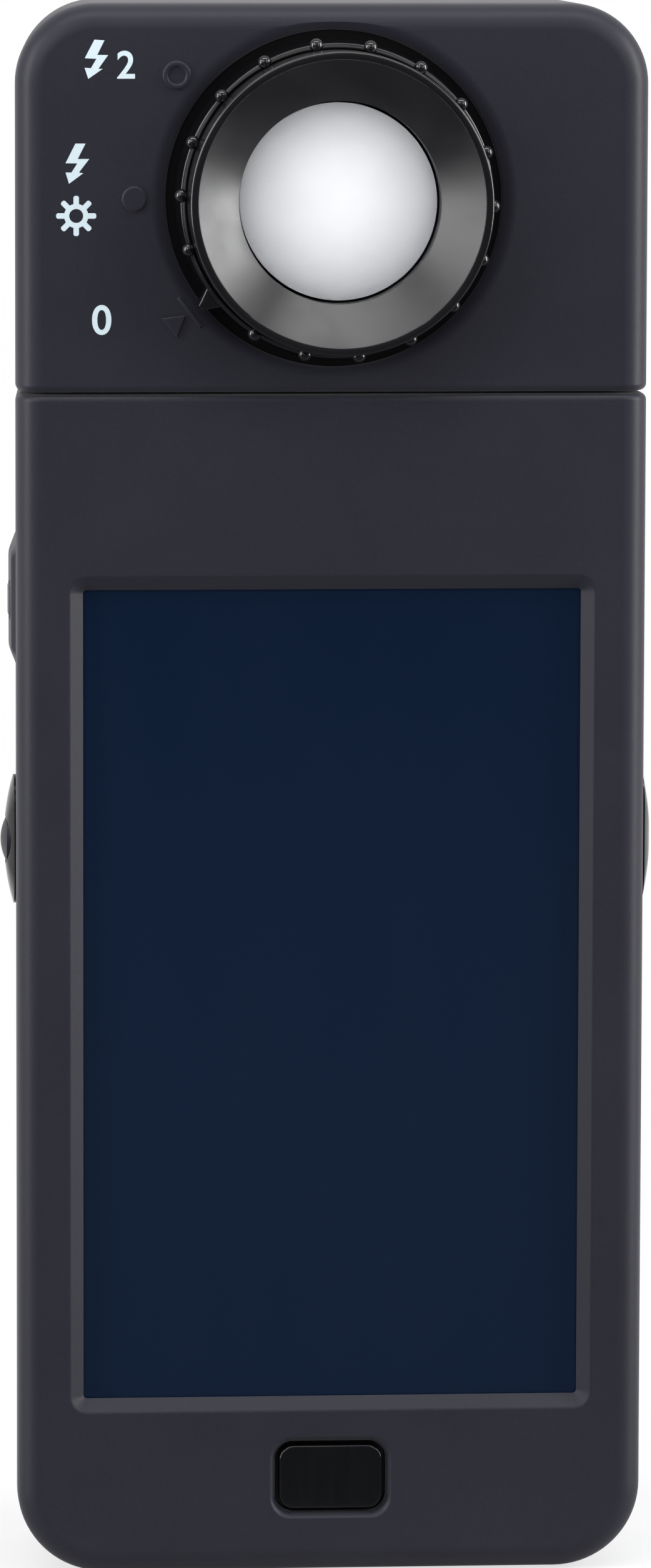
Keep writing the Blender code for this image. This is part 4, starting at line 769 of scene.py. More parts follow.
# Power key. A low key with a fine moulded grain, nearly flush with the pad round it. A flange
# behind the wall keeps it in.
power_rim = 0.00025


def keycap_grain():
    """Charcoal ABS keys with a fine sparked grain, a little smoother than the case."""
    material, tree, place = start_material("sparked_keycap")
    spark_mm = 0.12
    spark = add_node(tree, "ShaderNodeTexNoise", {
        "Vector": place, "Scale": 1000 / spark_mm, "Detail": 2.0})
    tone = add_node(tree, "ShaderNodeMixRGB", {
        "Fac": spark, "Color1": colour("232329"), "Color2": colour("2e2e35")})
    bump = add_node(tree, "ShaderNodeBump", {"Height": spark, "Strength": 0.3, "Distance": 0.00002})
    shader = add_node(tree, "ShaderNodeBsdfPrincipled", {
        "Base Color": tone, "Roughness": 0.42, "Normal": bump})
    add_node(tree, "ShaderNodeOutputMaterial", {"Surface": shader})
    return material


keycap = keycap_grain()
power_out, power_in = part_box("power_button")[0].x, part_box("power_button")[1].x
power_key = add_block("power_key_cap", (power_out, side_y - power_half_y, power_z - power_half_z),
                      (power_in - flange_depth, side_y + power_half_y, power_z + power_half_z))
round_corners(power_key, "x", power_corner, pad_steps)
add_flange(power_key, "+x", power_half_y, power_half_z)
round_edges(power_key, power_rim, rim_steps, lambda ends: lie(ends, x=power_out))
finish(power_key, keycap, "power_key", "key_plastic", "power_button")

# Memory bezel and measure key. Both are lens-shaped piano-black mouldings: the bezel is fixed in
# the left side and has a bore for its key, the measure key is one large key in the right side.
lens_steps = 14
lens_turn = 88
bezel_lift = 0.0004
memory_bore = 0.0029
measure_rim = 0.0009


def add_lens(name, side, inner_x, base_x, top_x, half_z):
    """Slot-shaped plug whose outer end swells into a shallow lens."""
    low_x, high_x = sorted((side * inner_x, side * base_x))
    plug = add_block(name, (low_x, side_y - key_half_y, key_z - half_z),
                     (high_x, side_y + key_half_y, key_z + half_z))
    round_corners(plug, "x", key_half_y - near, corner_steps)
    swell = top_x - base_x
    shares = [math.cos(math.radians(lens_turn * step / lens_steps))
              for step in range(1, lens_steps + 1)]
    extrude_cap(plug, "+x" if side > 0 else "-x",
                [(swell * (1 - share ** 2), key_half_y * share, half_z * share)
                 for share in shares])
    return plug


bezel_out, bezel_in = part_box("memory_bezel")
memory_bezel = add_lens("memory_bezel_ring", -1, -bezel_in.x, skin_x + bezel_lift,
                        -bezel_out.x + bezel_lift, bezel_half_z)
carve(memory_bezel, add_rod("memory_bore", memory_bore, (-skin_x - 2 * overrun, side_y, key_z),
                            (bezel_in.x + overrun, side_y, key_z), fine_sides))
finish(memory_bezel, gloss, "body", "gloss_black", "memory_bezel")
measure_in, measure_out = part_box("measure_button")
measure_key = add_lens("measure_key_cap", 1, measure_in.x + flange_depth, skin_x + measure_rim,
                       measure_out.x, key_half_z)
add_flange(measure_key, "-x", key_half_y, key_half_z)
finish(measure_key, gloss, "measure_key", "gloss_black", "measure_button")

# Memory key. A small domed key that stands out of the bezel, with the same grain as the power key
# and a flange behind the bezel.
flange_bevel = 0.0001
memory_dome = 0.00065
dome_steps = 10


def lathe(name, towards, centre, profile, sides=96):
    """Turned piece: a disc extruded along an axis such as "-y" by heights and radii.

    A profile that comes back to its start gives a hollow piece.
    """
    axis = Vector([{"+": 1, "-": -1}[towards[0]] * (letter == towards[1]) for letter in "xyz"])
    height, radius = profile[0]
    bpy.ops.object.select_all(action="DESELECT")
    bpy.ops.mesh.primitive_circle_add(vertices=sides, radius=radius, fill_type="NGON",
                                      location=Vector(centre) + axis * height,
                                      rotation=axis.to_track_quat("Z", "Y").to_euler())
    bpy.ops.object.transform_apply(location=True, rotation=True, scale=True)
    piece = bpy.context.object
    piece.name = name
    extrude_cap(piece, towards, [(rise - height, size, size) for rise, size in profile[1:]])
    if profile[-1] == profile[0]:
        choose(piece, "faces", lambda corners: len(corners) == sides)
        bpy.ops.mesh.delete(type="ONLY_FACE")
    else:
        open_piece(piece)
    bpy.ops.mesh.select_all(action="SELECT")
    bpy.ops.mesh.remove_doubles(threshold=weld)
    bpy.ops.mesh.normals_make_consistent(inside=False)
    bpy.ops.object.mode_set(mode="OBJECT")
    return piece


def bow(steps, end=90):
    """Sines and cosines of evenly spaced turns from 0 to an end angle."""
    return [(math.sin(math.radians(end * step / steps)), math.cos(math.radians(end * step / steps)))
            for step in range(steps + 1)]


memory_out, memory_in = -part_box("memory_button")[0].x, -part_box("memory_button")[1].x
memory_radius = memory_bore - fit_gap
flange_radius = memory_radius + flange_grow
profile = [(memory_in, flange_radius - flange_bevel), (memory_in + flange_bevel, flange_radius),
           (memory_in + flange_depth, flange_radius), (memory_in + flange_depth, memory_radius)]
profile += [(memory_out - memory_dome * cosine ** 2, memory_radius * cosine)
            for sine, cosine in bow(dome_steps, lens_turn)]
memory_key = lathe("memory_key_cap", "-x", (0, side_y, key_z), profile, fine_sides)
finish(memory_key, keycap, "memory_key", "key_plastic", "memory_button")

# Switches, contact springs and clips. Sheet steel, bright nickel plated, with the faint grain of
# the rolled sheet.
def plated_sheet(name, code, rough_low, rough_high):
    """Plated sheet metal with a fine rolling grain along its length."""
    material, tree, place = start_material(name)
    grain_mm = 0.3
    stretch = add_node(tree, "ShaderNodeMapping", {"Vector": place, "Scale": (1, 1, 0.1)})
    grain = add_node(tree, "ShaderNodeTexNoise", {
        "Vector": stretch, "Scale": 1000 / grain_mm, "Detail": 3.0})
    rough = add_node(tree, "ShaderNodeMapRange", {
        "Value": grain, "From Min": 0.3, "From Max": 0.7,
        "To Min": rough_low, "To Max": rough_high})
    shader = add_node(tree, "ShaderNodeBsdfPrincipled", {
        "Base Color": colour(code), "Metallic": 1.0, "Roughness": rough})
    add_node(tree, "ShaderNodeOutputMaterial", {"Surface": shader})
    return material


bright_nickel = plated_sheet("bright_nickel_sheet", "c9c4b8", 0.16, 0.30)
dress(bright_nickel, "home_switch", "power_switch", "memory_switch", "measure_switch",
      "contact_button", "contact_bridge", "detent_spring")

# Cells. Two AA cells: a steel can in a printed sleeve, crimped at both ends, with a raised
# positive cap. They lie side by side, head to tail.
cell_radius = 0.0072
cell_crimp = 0.0007
cell_nub_radius = 0.0027
cell_nub_height = 0.0013
cell_collar = 0.009
cell_dish = 0.0003
cell_dish_inner, cell_dish_outer = 0.0045, 0.0050
cell_groove = 0.0052
nub_flare = 0.0002
nub_round = 0.0003
crimp_steps = 5


def copied(piece, move):
    """Copy of a piece with its own mesh, moved or turned in that mesh."""
    twin = piece.copy()
    twin.data = piece.data.copy()
    bpy.context.collection.objects.link(twin)
    twin.data.transform(move)
    return twin


def turned(centre, degrees):
    """Turn about an axis square to the front, anticlockwise as seen from the front."""
    return (Matrix.Translation(centre) @ Matrix.Rotation(-math.radians(degrees), 4, "Y")
            @ Matrix.Translation(-centre))


def rolled_edge(end, radius, rounding, steps=rim_steps):
    """Profile points of a rounded outer edge, from the side of a turned piece to its end."""
    return [(end - rounding * (1 - sine), radius - rounding * (1 - cosine))
            for sine, cosine in bow(steps)]


def printed_cell(name, low, high, upward):
    """Dark blue sleeve with a copper collar at the positive end, and bare steel ends."""
    material, tree, place = start_material(name)
    parts = add_node(tree, "ShaderNodeSeparateXYZ", {0: place})
    foot_z, way = (low, 1) if upward else (high, -1)
    printed_end = high - low - cell_nub_height - cell_crimp / 2
    along = add_node(tree, "ShaderNodeMath", {
        0: parts.outputs["Z"], 1: foot_z}, operation="SUBTRACT")
    run = add_node(tree, "ShaderNodeMath", {0: along, 1: way}, operation="MULTIPLY")
    collar = add_node(tree, "ShaderNodeMath", {
        0: run, 1: high - low - cell_collar}, operation="GREATER_THAN")
    not_foot = add_node(tree, "ShaderNodeMath", {0: run, 1: cell_crimp}, operation="GREATER_THAN")
    not_cap = add_node(tree, "ShaderNodeMath", {0: run, 1: printed_end}, operation="LESS_THAN")
    sleeve = add_node(tree, "ShaderNodeMath", {0: not_foot, 1: not_cap}, operation="MULTIPLY")
    printed = add_node(tree, "ShaderNodeMixRGB", {
        "Fac": collar, "Color1": colour("1a2e52"), "Color2": colour("b4713c")})
    tone = add_node(tree, "ShaderNodeMixRGB", {
        "Fac": sleeve, "Color1": colour("c6c4bf"), "Color2": printed})
    metal = add_node(tree, "ShaderNodeMath", {0: 1.0, 1: sleeve}, operation="SUBTRACT")
    shader = add_node(tree, "ShaderNodeBsdfPrincipled", {
        "Base Color": tone, "Metallic": metal, "Roughness": 0.28})
    add_node(tree, "ShaderNodeOutputMaterial", {"Surface": shader})
    return material


cell_low, cell_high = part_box("battery_left")
cell_middle = (cell_low + cell_high) / 2
cell_length = cell_high.z - cell_low.z
cell_shoulder = cell_length - cell_nub_height
profile = [(cell_dish, cell_dish_inner), (0, cell_dish_outer), (0, cell_radius - cell_crimp)]
profile += [(cell_crimp * (1 - cosine), cell_radius - cell_crimp * (1 - sine))
            for sine, cosine in bow(crimp_steps)]
profile += rolled_edge(cell_shoulder, cell_radius, cell_crimp, crimp_steps)
profile += [(cell_shoulder - cell_dish, cell_groove),
            (cell_shoulder - cell_dish, cell_nub_radius + nub_flare),
            (cell_shoulder, cell_nub_radius)]
profile += rolled_edge(cell_length, cell_nub_radius, nub_round)
left_cell = lathe("battery_left_can", "+z", (cell_middle.x, cell_middle.y, cell_low.z), profile,
                  fine_sides)
right_low, right_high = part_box("battery_right")
right_cell = copied(left_cell, Matrix.Translation((right_low + right_high) / 2 - cell_middle)
                    @ turned(cell_middle, 180))
right_cell.name = "battery_right_can"
for name, cell, low, high, upward in (("battery_left", left_cell, cell_low, cell_high, True),
                                      ("battery_right", right_cell, right_low, right_high, False)):
    finish(cell, printed_cell(f"{name}_sleeve", low.z, high.z, upward), "body", "cell_sleeve", name)

# Contact spring. A disc of plated steel with a wire coil that presses on the negative end. The disc
# rests against the upper end of the battery bay.
coil_turns = 2.5
coil_steps = 32
coil_wire = 0.00028
coil_reach = 0.0028
coil_sides = 12
disc_sides = 48
disc_thick = 0.0004
disc_bevel = 0.0001


def bevelled(height, radius, bevel):
    """Profile points of a turned body with a small bevel at both ends."""
    return [(0, radius - bevel), (bevel, radius),
            (height - bevel, radius), (height, radius - bevel)]


def joined(pieces):
    """Join pieces into the first one, each as its own shell."""
    bpy.ops.object.select_all(action="DESELECT")
    for piece in pieces:
        piece.select_set(True)
    bpy.context.view_layer.objects.active = pieces[0]
    bpy.ops.object.join()
    return pieces[0]


spring_low, spring_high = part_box("contact_spring")
spring_middle = (spring_low + spring_high) / 2
disc_radius = (spring_high.x - spring_low.x) / 2
contact_spring = lathe("contact_coil", "-z", (spring_middle.x, spring_middle.y, spring_high.z),
                       bevelled(disc_thick, disc_radius, disc_bevel), disc_sides)
bpy.ops.object.select_all(action="DESELECT")
bpy.ops.mesh.primitive_circle_add(vertices=coil_sides, radius=coil_wire, fill_type="NGON",
                                  rotation=(math.pi / 2, 0, 0),
                                  location=(coil_reach - coil_wire, 0, 0))
bpy.ops.object.transform_apply(location=True, rotation=True)
coil = bpy.context.object
winding = coil.modifiers.new("winding", "SCREW")
winding.angle = 2 * math.pi * coil_turns
winding.screw_offset = spring_high.z - spring_low.z - disc_thick - 2 * coil_wire
winding.steps = round(coil_steps * coil_turns)
winding.render_steps = winding.steps
winding.use_merge_vertices = False
bpy.ops.object.modifier_apply(modifier=winding.name)
coil.location = (spring_middle.x, spring_middle.y, spring_low.z + coil_wire)
bpy.ops.object.transform_apply(location=True)
choose(coil, "edges", lambda ends: False)
bpy.ops.mesh.select_mode(type="EDGE")
bpy.ops.mesh.select_non_manifold(extend=False, use_wire=False, use_multi_face=False,
                                 use_non_contiguous=False, use_verts=False)
bpy.ops.mesh.edge_face_add()
bpy.ops.mesh.select_all(action="SELECT")
bpy.ops.mesh.normals_make_consistent(inside=False)
bpy.ops.object.mode_set(mode="OBJECT")
finish(joined([contact_spring, coil]), bright_nickel, "body", "nickel", "contact_spring")

# Battery cover. A door in the back, moulded and coated like the case, that swings on two pins in
# its rounded lower edge. A shallow thumb rest with ribs helps to open it.
thumb_radius = 0.0090
thumb_depth = 0.0007
thumb_drop = 0.0055
rib_count = 4
rib_radius = 0.00025
rib_sides = 16
rib_step, rib_share, rib_sink = 0.4, 0.75, 0.9
hinge_radius = 0.0011
hinge_flat = 0.00001
door_round = 0.0004
cover_low, cover_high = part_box("battery_cover")
cover_half = bay_half - fit_gap
cover = add_block("battery_door", (-cover_half, cover_low.y, cover_low.z),
                  (cover_half, cover_high.y, cover_high.z))
round_edges(cover, hinge_radius - hinge_flat, fillet_steps,
            lambda ends: lie(ends, z=cover_low.z, y=cover_low.y)
            or lie(ends, z=cover_low.z, y=cover_high.y))
round_edges(cover, door_round, rim_steps,
            lambda ends: lie(ends, y=cover_high.y) and not lie(ends, z=cover_low.z + hinge_radius))
thumb_place = Vector((0, cover_high.y + thumb_radius - thumb_depth, cover_high.z - thumb_drop))
bpy.ops.object.select_all(action="DESELECT")
bpy.ops.mesh.primitive_uv_sphere_add(segments=64, ring_count=48, radius=thumb_radius,
                                     location=thumb_place)
bpy.ops.object.transform_apply(location=True)
thumb = bpy.context.object
thumb_edge = math.sqrt(thumb_radius ** 2 - (thumb_radius - thumb_depth) ** 2)
carve(cover, thumb)
rib_y = cover_high.y - thumb_depth * rib_sink
for index in range(rib_count):
    rib_z = thumb_place.z + thumb_edge * (index - (rib_count - 1) / 2) * rib_step
    rib_half = math.sqrt(thumb_edge ** 2 - (rib_z - thumb_place.z) ** 2) * rib_share
    rib = add_rod("rib", rib_radius, (-rib_half, rib_y, rib_z), (rib_half, rib_y, rib_z), rib_sides)
    carve(cover, rib, operation="UNION")
carve(cover, add_rod("pins", pin_radius, (-pin_reach + fit_gap, hinge_y, hinge_z),
                     (pin_reach - fit_gap, hinge_y, hinge_z), small_sides), operation="UNION")
finish(cover, coat, "cover", "case_plastic", "battery_cover")

# USB socket. A drawn steel shell on the board with a plastic tongue inside. Its mouth lies behind
# the flap in the right side.
socket_corner = 0.0012
socket_wall = 0.0005
tongue_half = 0.00035
tongue_inset = 0.0012
tongue_round = 0.0002
port_low, port_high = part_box("usb_socket")
usb_socket = add_block("usb_shell", port_low, port_high)
round_corners(usb_socket, "x", socket_corner, small_steps)
mouth = add_block("mouth", port_low + Vector((socket_wall, socket_wall, socket_wall)),
                  port_high + Vector((overrun, -socket_wall, -socket_wall)))
round_corners(mouth, "x", socket_corner - socket_wall, small_steps)
carve(usb_socket, mouth)
finish(usb_socket, bright_nickel, "body", "nickel", "usb_socket")
tongue_tip = port_high.x - tongue_inset
tongue = add_block("usb_tongue",
                   (port_low.x + socket_wall / 2, side_y - tongue_half, port_low.z + tongue_inset),
                   (tongue_tip, side_y + tongue_half, port_high.z - tongue_inset))
round_edges(tongue, tongue_round, bevel_steps, lambda ends: lie(ends, x=tongue_tip))
finish(tongue, dark_moulding, "body", "black_component")

# USB cap. A soft thermoplastic flap, flush with the side, that folds down about its rounded lower
# edge. A small lip for the nail is hollowed in its top.
flap_round = 0.00088
flap_bevel = 0.00025
nail_radius, nail_half = 0.0009, 0.0018
nail_out, nail_drop = 0.0004, 0.0012
nail_round = 0.0004
pin_sides = 32


def soft_rubber():
    """Black thermoplastic elastomer with a dull, slightly dusty skin."""
    material, tree, place = start_material("dull_black_elastomer")
    skin_mm = 0.2
    skin = add_node(tree, "ShaderNodeTexNoise", {
        "Vector": place, "Scale": 1000 / skin_mm, "Detail": 3.0})
    tone = add_node(tree, "ShaderNodeMixRGB", {
        "Fac": skin, "Color1": colour("1c1c1f"), "Color2": colour("27272b")})
    bump = add_node(tree, "ShaderNodeBump", {"Height": skin, "Strength": 0.4, "Distance": 0.00003})
    shader = add_node(tree, "ShaderNodeBsdfPrincipled", {
        "Base Color": tone, "Roughness": 0.68, "Normal": bump})
    add_node(tree, "ShaderNodeOutputMaterial", {"Surface": shader})
    return material


rubber = soft_rubber()
usb_flap = add_block("usb_flap", usb_low, usb_high)
round_edges(usb_flap, flap_round, small_steps,
            lambda ends: lie(ends, z=usb_low.z, x=usb_low.x)
            or lie(ends, z=usb_low.z, x=usb_high.x))
round_edges(usb_flap, flap_bevel, bevel_steps,
            lambda ends: lie(ends, x=usb_high.x) and not lie(ends, z=usb_low.z + flap_round))
nail_x, nail_z = usb_high.x + nail_out, usb_high.z - nail_drop
nail = add_rod("nail_lip", nail_radius, (nail_x, side_y - nail_half, nail_z),
               (nail_x, side_y + nail_half, nail_z), pin_sides)
round_edges(nail, nail_round, rim_steps,
            lambda ends: lie(ends, y=side_y - nail_half) or lie(ends, y=side_y + nail_half))
carve(usb_flap, nail)
finish(usb_flap, rubber, "usb_flap", "soft_rubber", "usb_cap")

# Sync terminal. A turned brass socket for a flash cord, with a chamfered mouth. It stands in the
# right side, and a cap closes it.
sync_bore = 0.0016
bore_floor = 0.0005
brass_bevel = 0.0002
mouth_bevel = 0.0003
socket_low, socket_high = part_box("sync_socket")
brass_length = socket_high.x - socket_low.x
profile = bevelled(brass_length, (socket_high.z - socket_low.z) / 2, brass_bevel)
profile += [(brass_length, sync_bore + mouth_bevel), (brass_length - mouth_bevel, sync_bore),
            (bore_floor, sync_bore)]
sync_socket = lathe("sync_terminal", "+x", (socket_low.x, sync_centre.y, sync_centre.z),
                    profile, fine_sides)
turned_brass = plated_sheet("turned_brass", "b8954e", 0.18, 0.32)
finish(sync_socket, turned_brass, "body", "brass", "sync_socket")

# Sync cap. A soft push-in plug that is flush with the side, with a slot for a coin or a nail. Its
# pin holds it in the terminal.
plug_pin = 0.0011
plug_disc = 0.0018
plug_round = 0.0003
plug_sides = 72
slot_depth = 0.0006
slot_half = Vector((0, 0.0022, 0.0003))
plug_length = sync_high.x - sync_low.x
profile = [(0, plug_pin - plug_round), (plug_round, plug_pin),
           (plug_length - plug_disc, plug_pin), (plug_length - plug_disc, sync_radius)]
profile += rolled_edge(plug_length, sync_radius, plug_round)
sync_plug = lathe("sync_plug", "+x", (sync_low.x, sync_centre.y, sync_centre.z), profile,
                  plug_sides)
slot_middle = Vector((sync_high.x, sync_centre.y, sync_centre.z))
carve(sync_plug, add_block("coin_slot", slot_middle - slot_half - Vector((slot_depth, 0, 0)),
                           slot_middle + slot_half + Vector((overrun, 0, 0))))
finish(sync_plug, rubber, "sync_plug", "soft_rubber", "sync_cap")

# Tripod bush. A turned and threaded steel bush, moulded into the back and flush with it. Its thread
# is drawn as plain rings.
thread_radius = 0.003175
thread_depth = 0.00045
thread_pitch = 0.00127
thread_turns = 4
thread_lead = 0.0004
bush_bevel = 0.0002
hole_depth = 0.0065
bush_length = back_y - bush_front
turned_steel = plated_sheet("turned_plated_steel", "b9b8b5", 0.20, 0.34)
profile = bevelled(bush_length, tripod_radius, bush_bevel)
profile += [(bush_length, thread_radius + bush_bevel), (bush_length - thread_lead, thread_radius)]
for turn in range(thread_turns):
    crest = bush_length - thread_lead - thread_pitch * (turn + 0.5)
    profile += [(crest, thread_radius - thread_depth), (crest - thread_pitch / 2, thread_radius)]
profile += [(bush_length - hole_depth, thread_radius - thread_depth)]
tripod_bush = lathe("threaded_bush", "+y", (0, bush_front, tripod_z), profile, fine_sides)
finish(tripod_bush, turned_steel, "body", "steel", "tripod_bush")

# Strap bar. A ground steel pin with rounded ends, pressed across the notch. A cord for the hand can
# be looped round it.
bar_round = 0.00025
strap_low, strap_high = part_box("strap_bar")
profile = [(bar_round * (1 - cosine), strap_pin_radius - bar_round * (1 - sine))
           for sine, cosine in bow(rim_steps)]
profile += rolled_edge(strap_high.z - strap_low.z, strap_pin_radius, bar_round)
strap_bar = lathe("strap_pin", "+z", (strap_pin.x, strap_pin.y, strap_low.z), profile, pin_sides)
finish(strap_bar, turned_steel, "body", "steel", "strap_bar")

# Case screws. Eight small cross-head screws with domed heads, black zinc plated, sunk in the
# tubes of the back. One is modelled and copied to the other places.
screw_radius = 0.0010
screw_core = 0.00078
screw_pitch = 0.0007
screw_thread = ((0.4, screw_core), (0.7, screw_radius), (0.8, screw_radius), (1, screw_core))
screw_plain = 0.002
screw_neck = 0.0003
screw_head = 0.00183
screw_head_depth = 0.0014
screw_bevel = 0.0001
screw_crown = 0.0006
crown_tip = 0.00001
cross_half = 0.0002
cross_reach = 0.0011
cross_depth = 0.0008


def black_zinc():
    """Black zinc plating, worn a little brighter in small patches."""
    material, tree, place = start_material("black_zinc_plating")
    wear_mm = 0.7
    wear = add_node(tree, "ShaderNodeTexNoise", {
        "Vector": place, "Scale": 1000 / wear_mm, "Detail": 4.0})
    tone = add_node(tree, "ShaderNodeMixRGB", {
        "Fac": wear, "Color1": colour("3a3a3d"), "Color2": colour("5a5a5c")})
    rough = add_node(tree, "ShaderNodeMapRange", {"Value": wear, "To Min": 0.25, "To Max": 0.45})
    shader = add_node(tree, "ShaderNodeBsdfPrincipled", {
        "Base Color": tone, "Metallic": 1.0, "Roughness": rough})
    add_node(tree, "ShaderNodeOutputMaterial", {"Surface": shader})
    return material


zinc = black_zinc()
screw_low_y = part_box("body_screw_1")[0].y
screw_high_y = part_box("body_screw_1")[1].y
screw_top = screw_high_y - screw_low_y
seat = screw_top - screw_head_depth
profile = [(0, screw_core / 2), (screw_pitch, screw_core)]
for turn in range(round((seat - screw_plain) / screw_pitch)):
    profile += [(screw_pitch * (turn + 1 + share), size) for share, size in screw_thread]
profile += [(seat - screw_neck, screw_radius), (seat, screw_radius),
            (seat, screw_head - screw_bevel), (seat + screw_bevel, screw_head)]
profile += [(screw_top - screw_crown * (1 - sine), screw_head * cosine + crown_tip)
            for sine, cosine in bow(small_steps, lens_turn)]
first_place = screw_places[0]
screw = lathe("cross_head_screw", "+y", (first_place.x, screw_low_y, first_place.z), profile,
              pin_sides)
for half_x, half_z in ((cross_half, cross_reach), (cross_reach, cross_half)):
    carve(screw, add_block(
        "cross_arm", (first_place.x - half_x, screw_high_y - cross_depth, first_place.z - half_z),
        (first_place.x + half_x, screw_high_y + overrun, first_place.z + half_z)))
for index, spot in list(enumerate(screw_places, 1))[1:]:
    finish(copied(screw, Matrix.Translation(spot - first_place)), zinc, "body", "steel",
           f"body_screw_{index}")
for index in range(1, 5):
    low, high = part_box(f"head_screw_{index}")
    shift = (low + high) / 2 - first_place
    finish(copied(screw, Matrix.Translation((shift.x, 0, shift.z))), zinc, "head", "steel",
           f"head_screw_{index}")
finish(screw, zinc, "body", "steel", "body_screw_1")

# Swivel. A turned steel neck runs in a flanged acetal bush and is held by a spring washer, a
# keyed stop washer and an open clip. The cable runs through its bore.
acetal, tree, place = start_material("natural_acetal")
flow_mm = 3
flow = add_node(tree, "ShaderNodeTexNoise", {"Vector": place, "Scale": 1000 / flow_mm})
tone = add_node(tree, "ShaderNodeMixRGB", {
    "Fac": flow, "Color1": colour("dedbd2"), "Color2": colour("e8e6df")})
shader = add_node(tree, "ShaderNodeBsdfPrincipled", {"Base Color": tone, "Roughness": 0.38})
add_node(tree, "ShaderNodeOutputMaterial", {"Surface": shader})
dress(acetal, "swivel_bush")
dress(turned_steel, "swivel_neck", "swivel_washer", "swivel_stop", "swivel_clip", "ring_clip")

# Front shell of the head. Same moulding and coat as the body. A round well holds the selector
# ring, and a loop, a dot and an arrow with a bar stand proud where its pointer stops.
crown_corner = 0.00925
well_radius = 0.01995
well_depth = 0.0012
well_floor = 0.0018
well_backing = 0.0008
well_round = 0.0018
well_widen = 0.0012
mark_orbit = 0.0230
mark_proud = 0.0003
mark_round = 0.00025
loop_outer, loop_inner = 0.00165, 0.0010
dot_radius = 0.00145
mark_turn = 38
arrow_size = 0.0021
arrow_bar = 0.0004
arrow_spread = 0.0014
arrow_round = 0.00012
well_steps = 16
bore_sides = 96
ring_sides = 144
head_low, head_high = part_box("head_front_shell")
head_screw_z = [sum(corner.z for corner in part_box(name)) / 2
                for name in ("head_screw_1", "head_screw_3")]
head_screw_places = [Vector((spot.x, 0, z)) for z in head_screw_z for spot in screw_places[:2]]
ring_low, ring_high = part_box("diffuser_dome")
well_centre = Vector((0, face_y, (ring_low.z + ring_high.z) / 2))
sleeve_radius = 0.01288


def around(radius, angle, height):
    """Point round the well, its angle counted anticlockwise from +X as seen from the front."""
    return well_centre + Vector((radius * math.cos(math.radians(angle)), -height,
                                 radius * math.sin(math.radians(angle))))


def add_plate(name, outline, thickness):
    """Flat piece from an outline, by extruding one corner along it and filling it."""
    bpy.ops.object.select_all(action="DESELECT")
    bpy.ops.mesh.primitive_plane_add(size=0.001, location=outline[0])
    piece = bpy.context.object
    bpy.ops.object.transform_apply(location=True)
    piece.name = name
    open_piece(piece)
    bpy.ops.mesh.select_mode(type="VERT")
    bpy.ops.mesh.select_all(action="SELECT")
    bpy.ops.mesh.merge(type="CENTER")
    bpy.ops.mesh.select_all(action="SELECT")
    for here, there in zip(outline, outline[1:]):
        bpy.ops.mesh.extrude_region_move(
            TRANSFORM_OT_translate={"value": Vector(there) - Vector(here)})
    bpy.ops.mesh.select_all(action="SELECT")
    bpy.ops.mesh.edge_face_add()
    bpy.ops.mesh.extrude_region_move(TRANSFORM_OT_translate={"value": (0, -thickness, 0)})
    bpy.ops.mesh.select_all(action="SELECT")
    bpy.ops.mesh.normals_make_consistent(inside=False)
    bpy.ops.object.mode_set(mode="OBJECT")
    return piece


def mark_outline(points, angle):
    """Outline sunk in the face, its first axis pointing away from the ring."""
    away = around(1, angle, 0) - around(0, angle, 0)
    beside = Vector((-away.z, 0, away.x))
    return [around(mark_orbit, angle, -mark_proud) + away * out + beside * along
            for out, along in points]


head_front = add_front_half("head_front", head_low.z, head_high.z, crown_corner, head_high.z,
                            head_low.z)
backing_radius = well_radius + well_backing
backing = lathe("well_backing", "-y", well_centre,
                [(-well_depth - well_floor, backing_radius), (-well_depth / 2, backing_radius)])
carve(head_front, backing, operation="UNION")
well_edge = well_radius + well_widen
profile = [(-well_depth * (1 - sine), well_edge - well_round * cosine)
           for sine, cosine in bow(well_steps)]
well = lathe("well", "-y", well_centre, profile + [(overrun, well_edge)], ring_sides)
bore = add_rod("bore", sleeve_radius + fit_gap, around(0, 0, -well_depth - well_floor - overrun),
               around(0, 0, overrun), bore_sides)
carve(head_front, well, bore)
add_pillars(head_front, head_screw_places)
rolled = [(mark_proud - mark_round * (1 - sine), mark_round * (1 - cosine))
          for sine, cosine in bow(seam_steps)]
profile = [(-mark_proud, loop_inner), (-mark_proud, loop_outer)]
profile += [(rise, loop_outer - inset) for rise, inset in rolled]
profile += [(rise, loop_inner + inset) for rise, inset in reversed(rolled)]
loop = lathe("loop", "-y", around(mark_orbit, 180 - mark_turn, 0), profile + profile[:1],
             fine_sides)
profile = [(-mark_proud, dot_radius)] + [(rise, dot_radius - inset) for rise, inset in rolled]
dot = lathe("dot", "-y", around(mark_orbit, 180, 0), profile, fine_sides)
bar_points = ((-arrow_size, -arrow_size), (-arrow_size + arrow_bar, -arrow_size),
              (-arrow_size + arrow_bar, arrow_size), (-arrow_size, arrow_size))
arrow_points = ((-arrow_size + 2 * arrow_bar, 0), (arrow_size / 2, -arrow_spread),
                (arrow_size / 2, arrow_spread))
bar, arrow = [add_plate(name, mark_outline(points, 180 + mark_turn), 2 * mark_proud)
              for name, points in (("bar", bar_points), ("arrow", arrow_points))]
for mark in (bar, arrow):
    round_edges(mark, arrow_round, bevel_steps, lambda ends: lie(ends, y=face_y - mark_proud))
carve(head_front, loop, dot, bar, arrow, operation="UNION")
finish(head_front, coat, "head", "case_plastic", "head_front_shell")

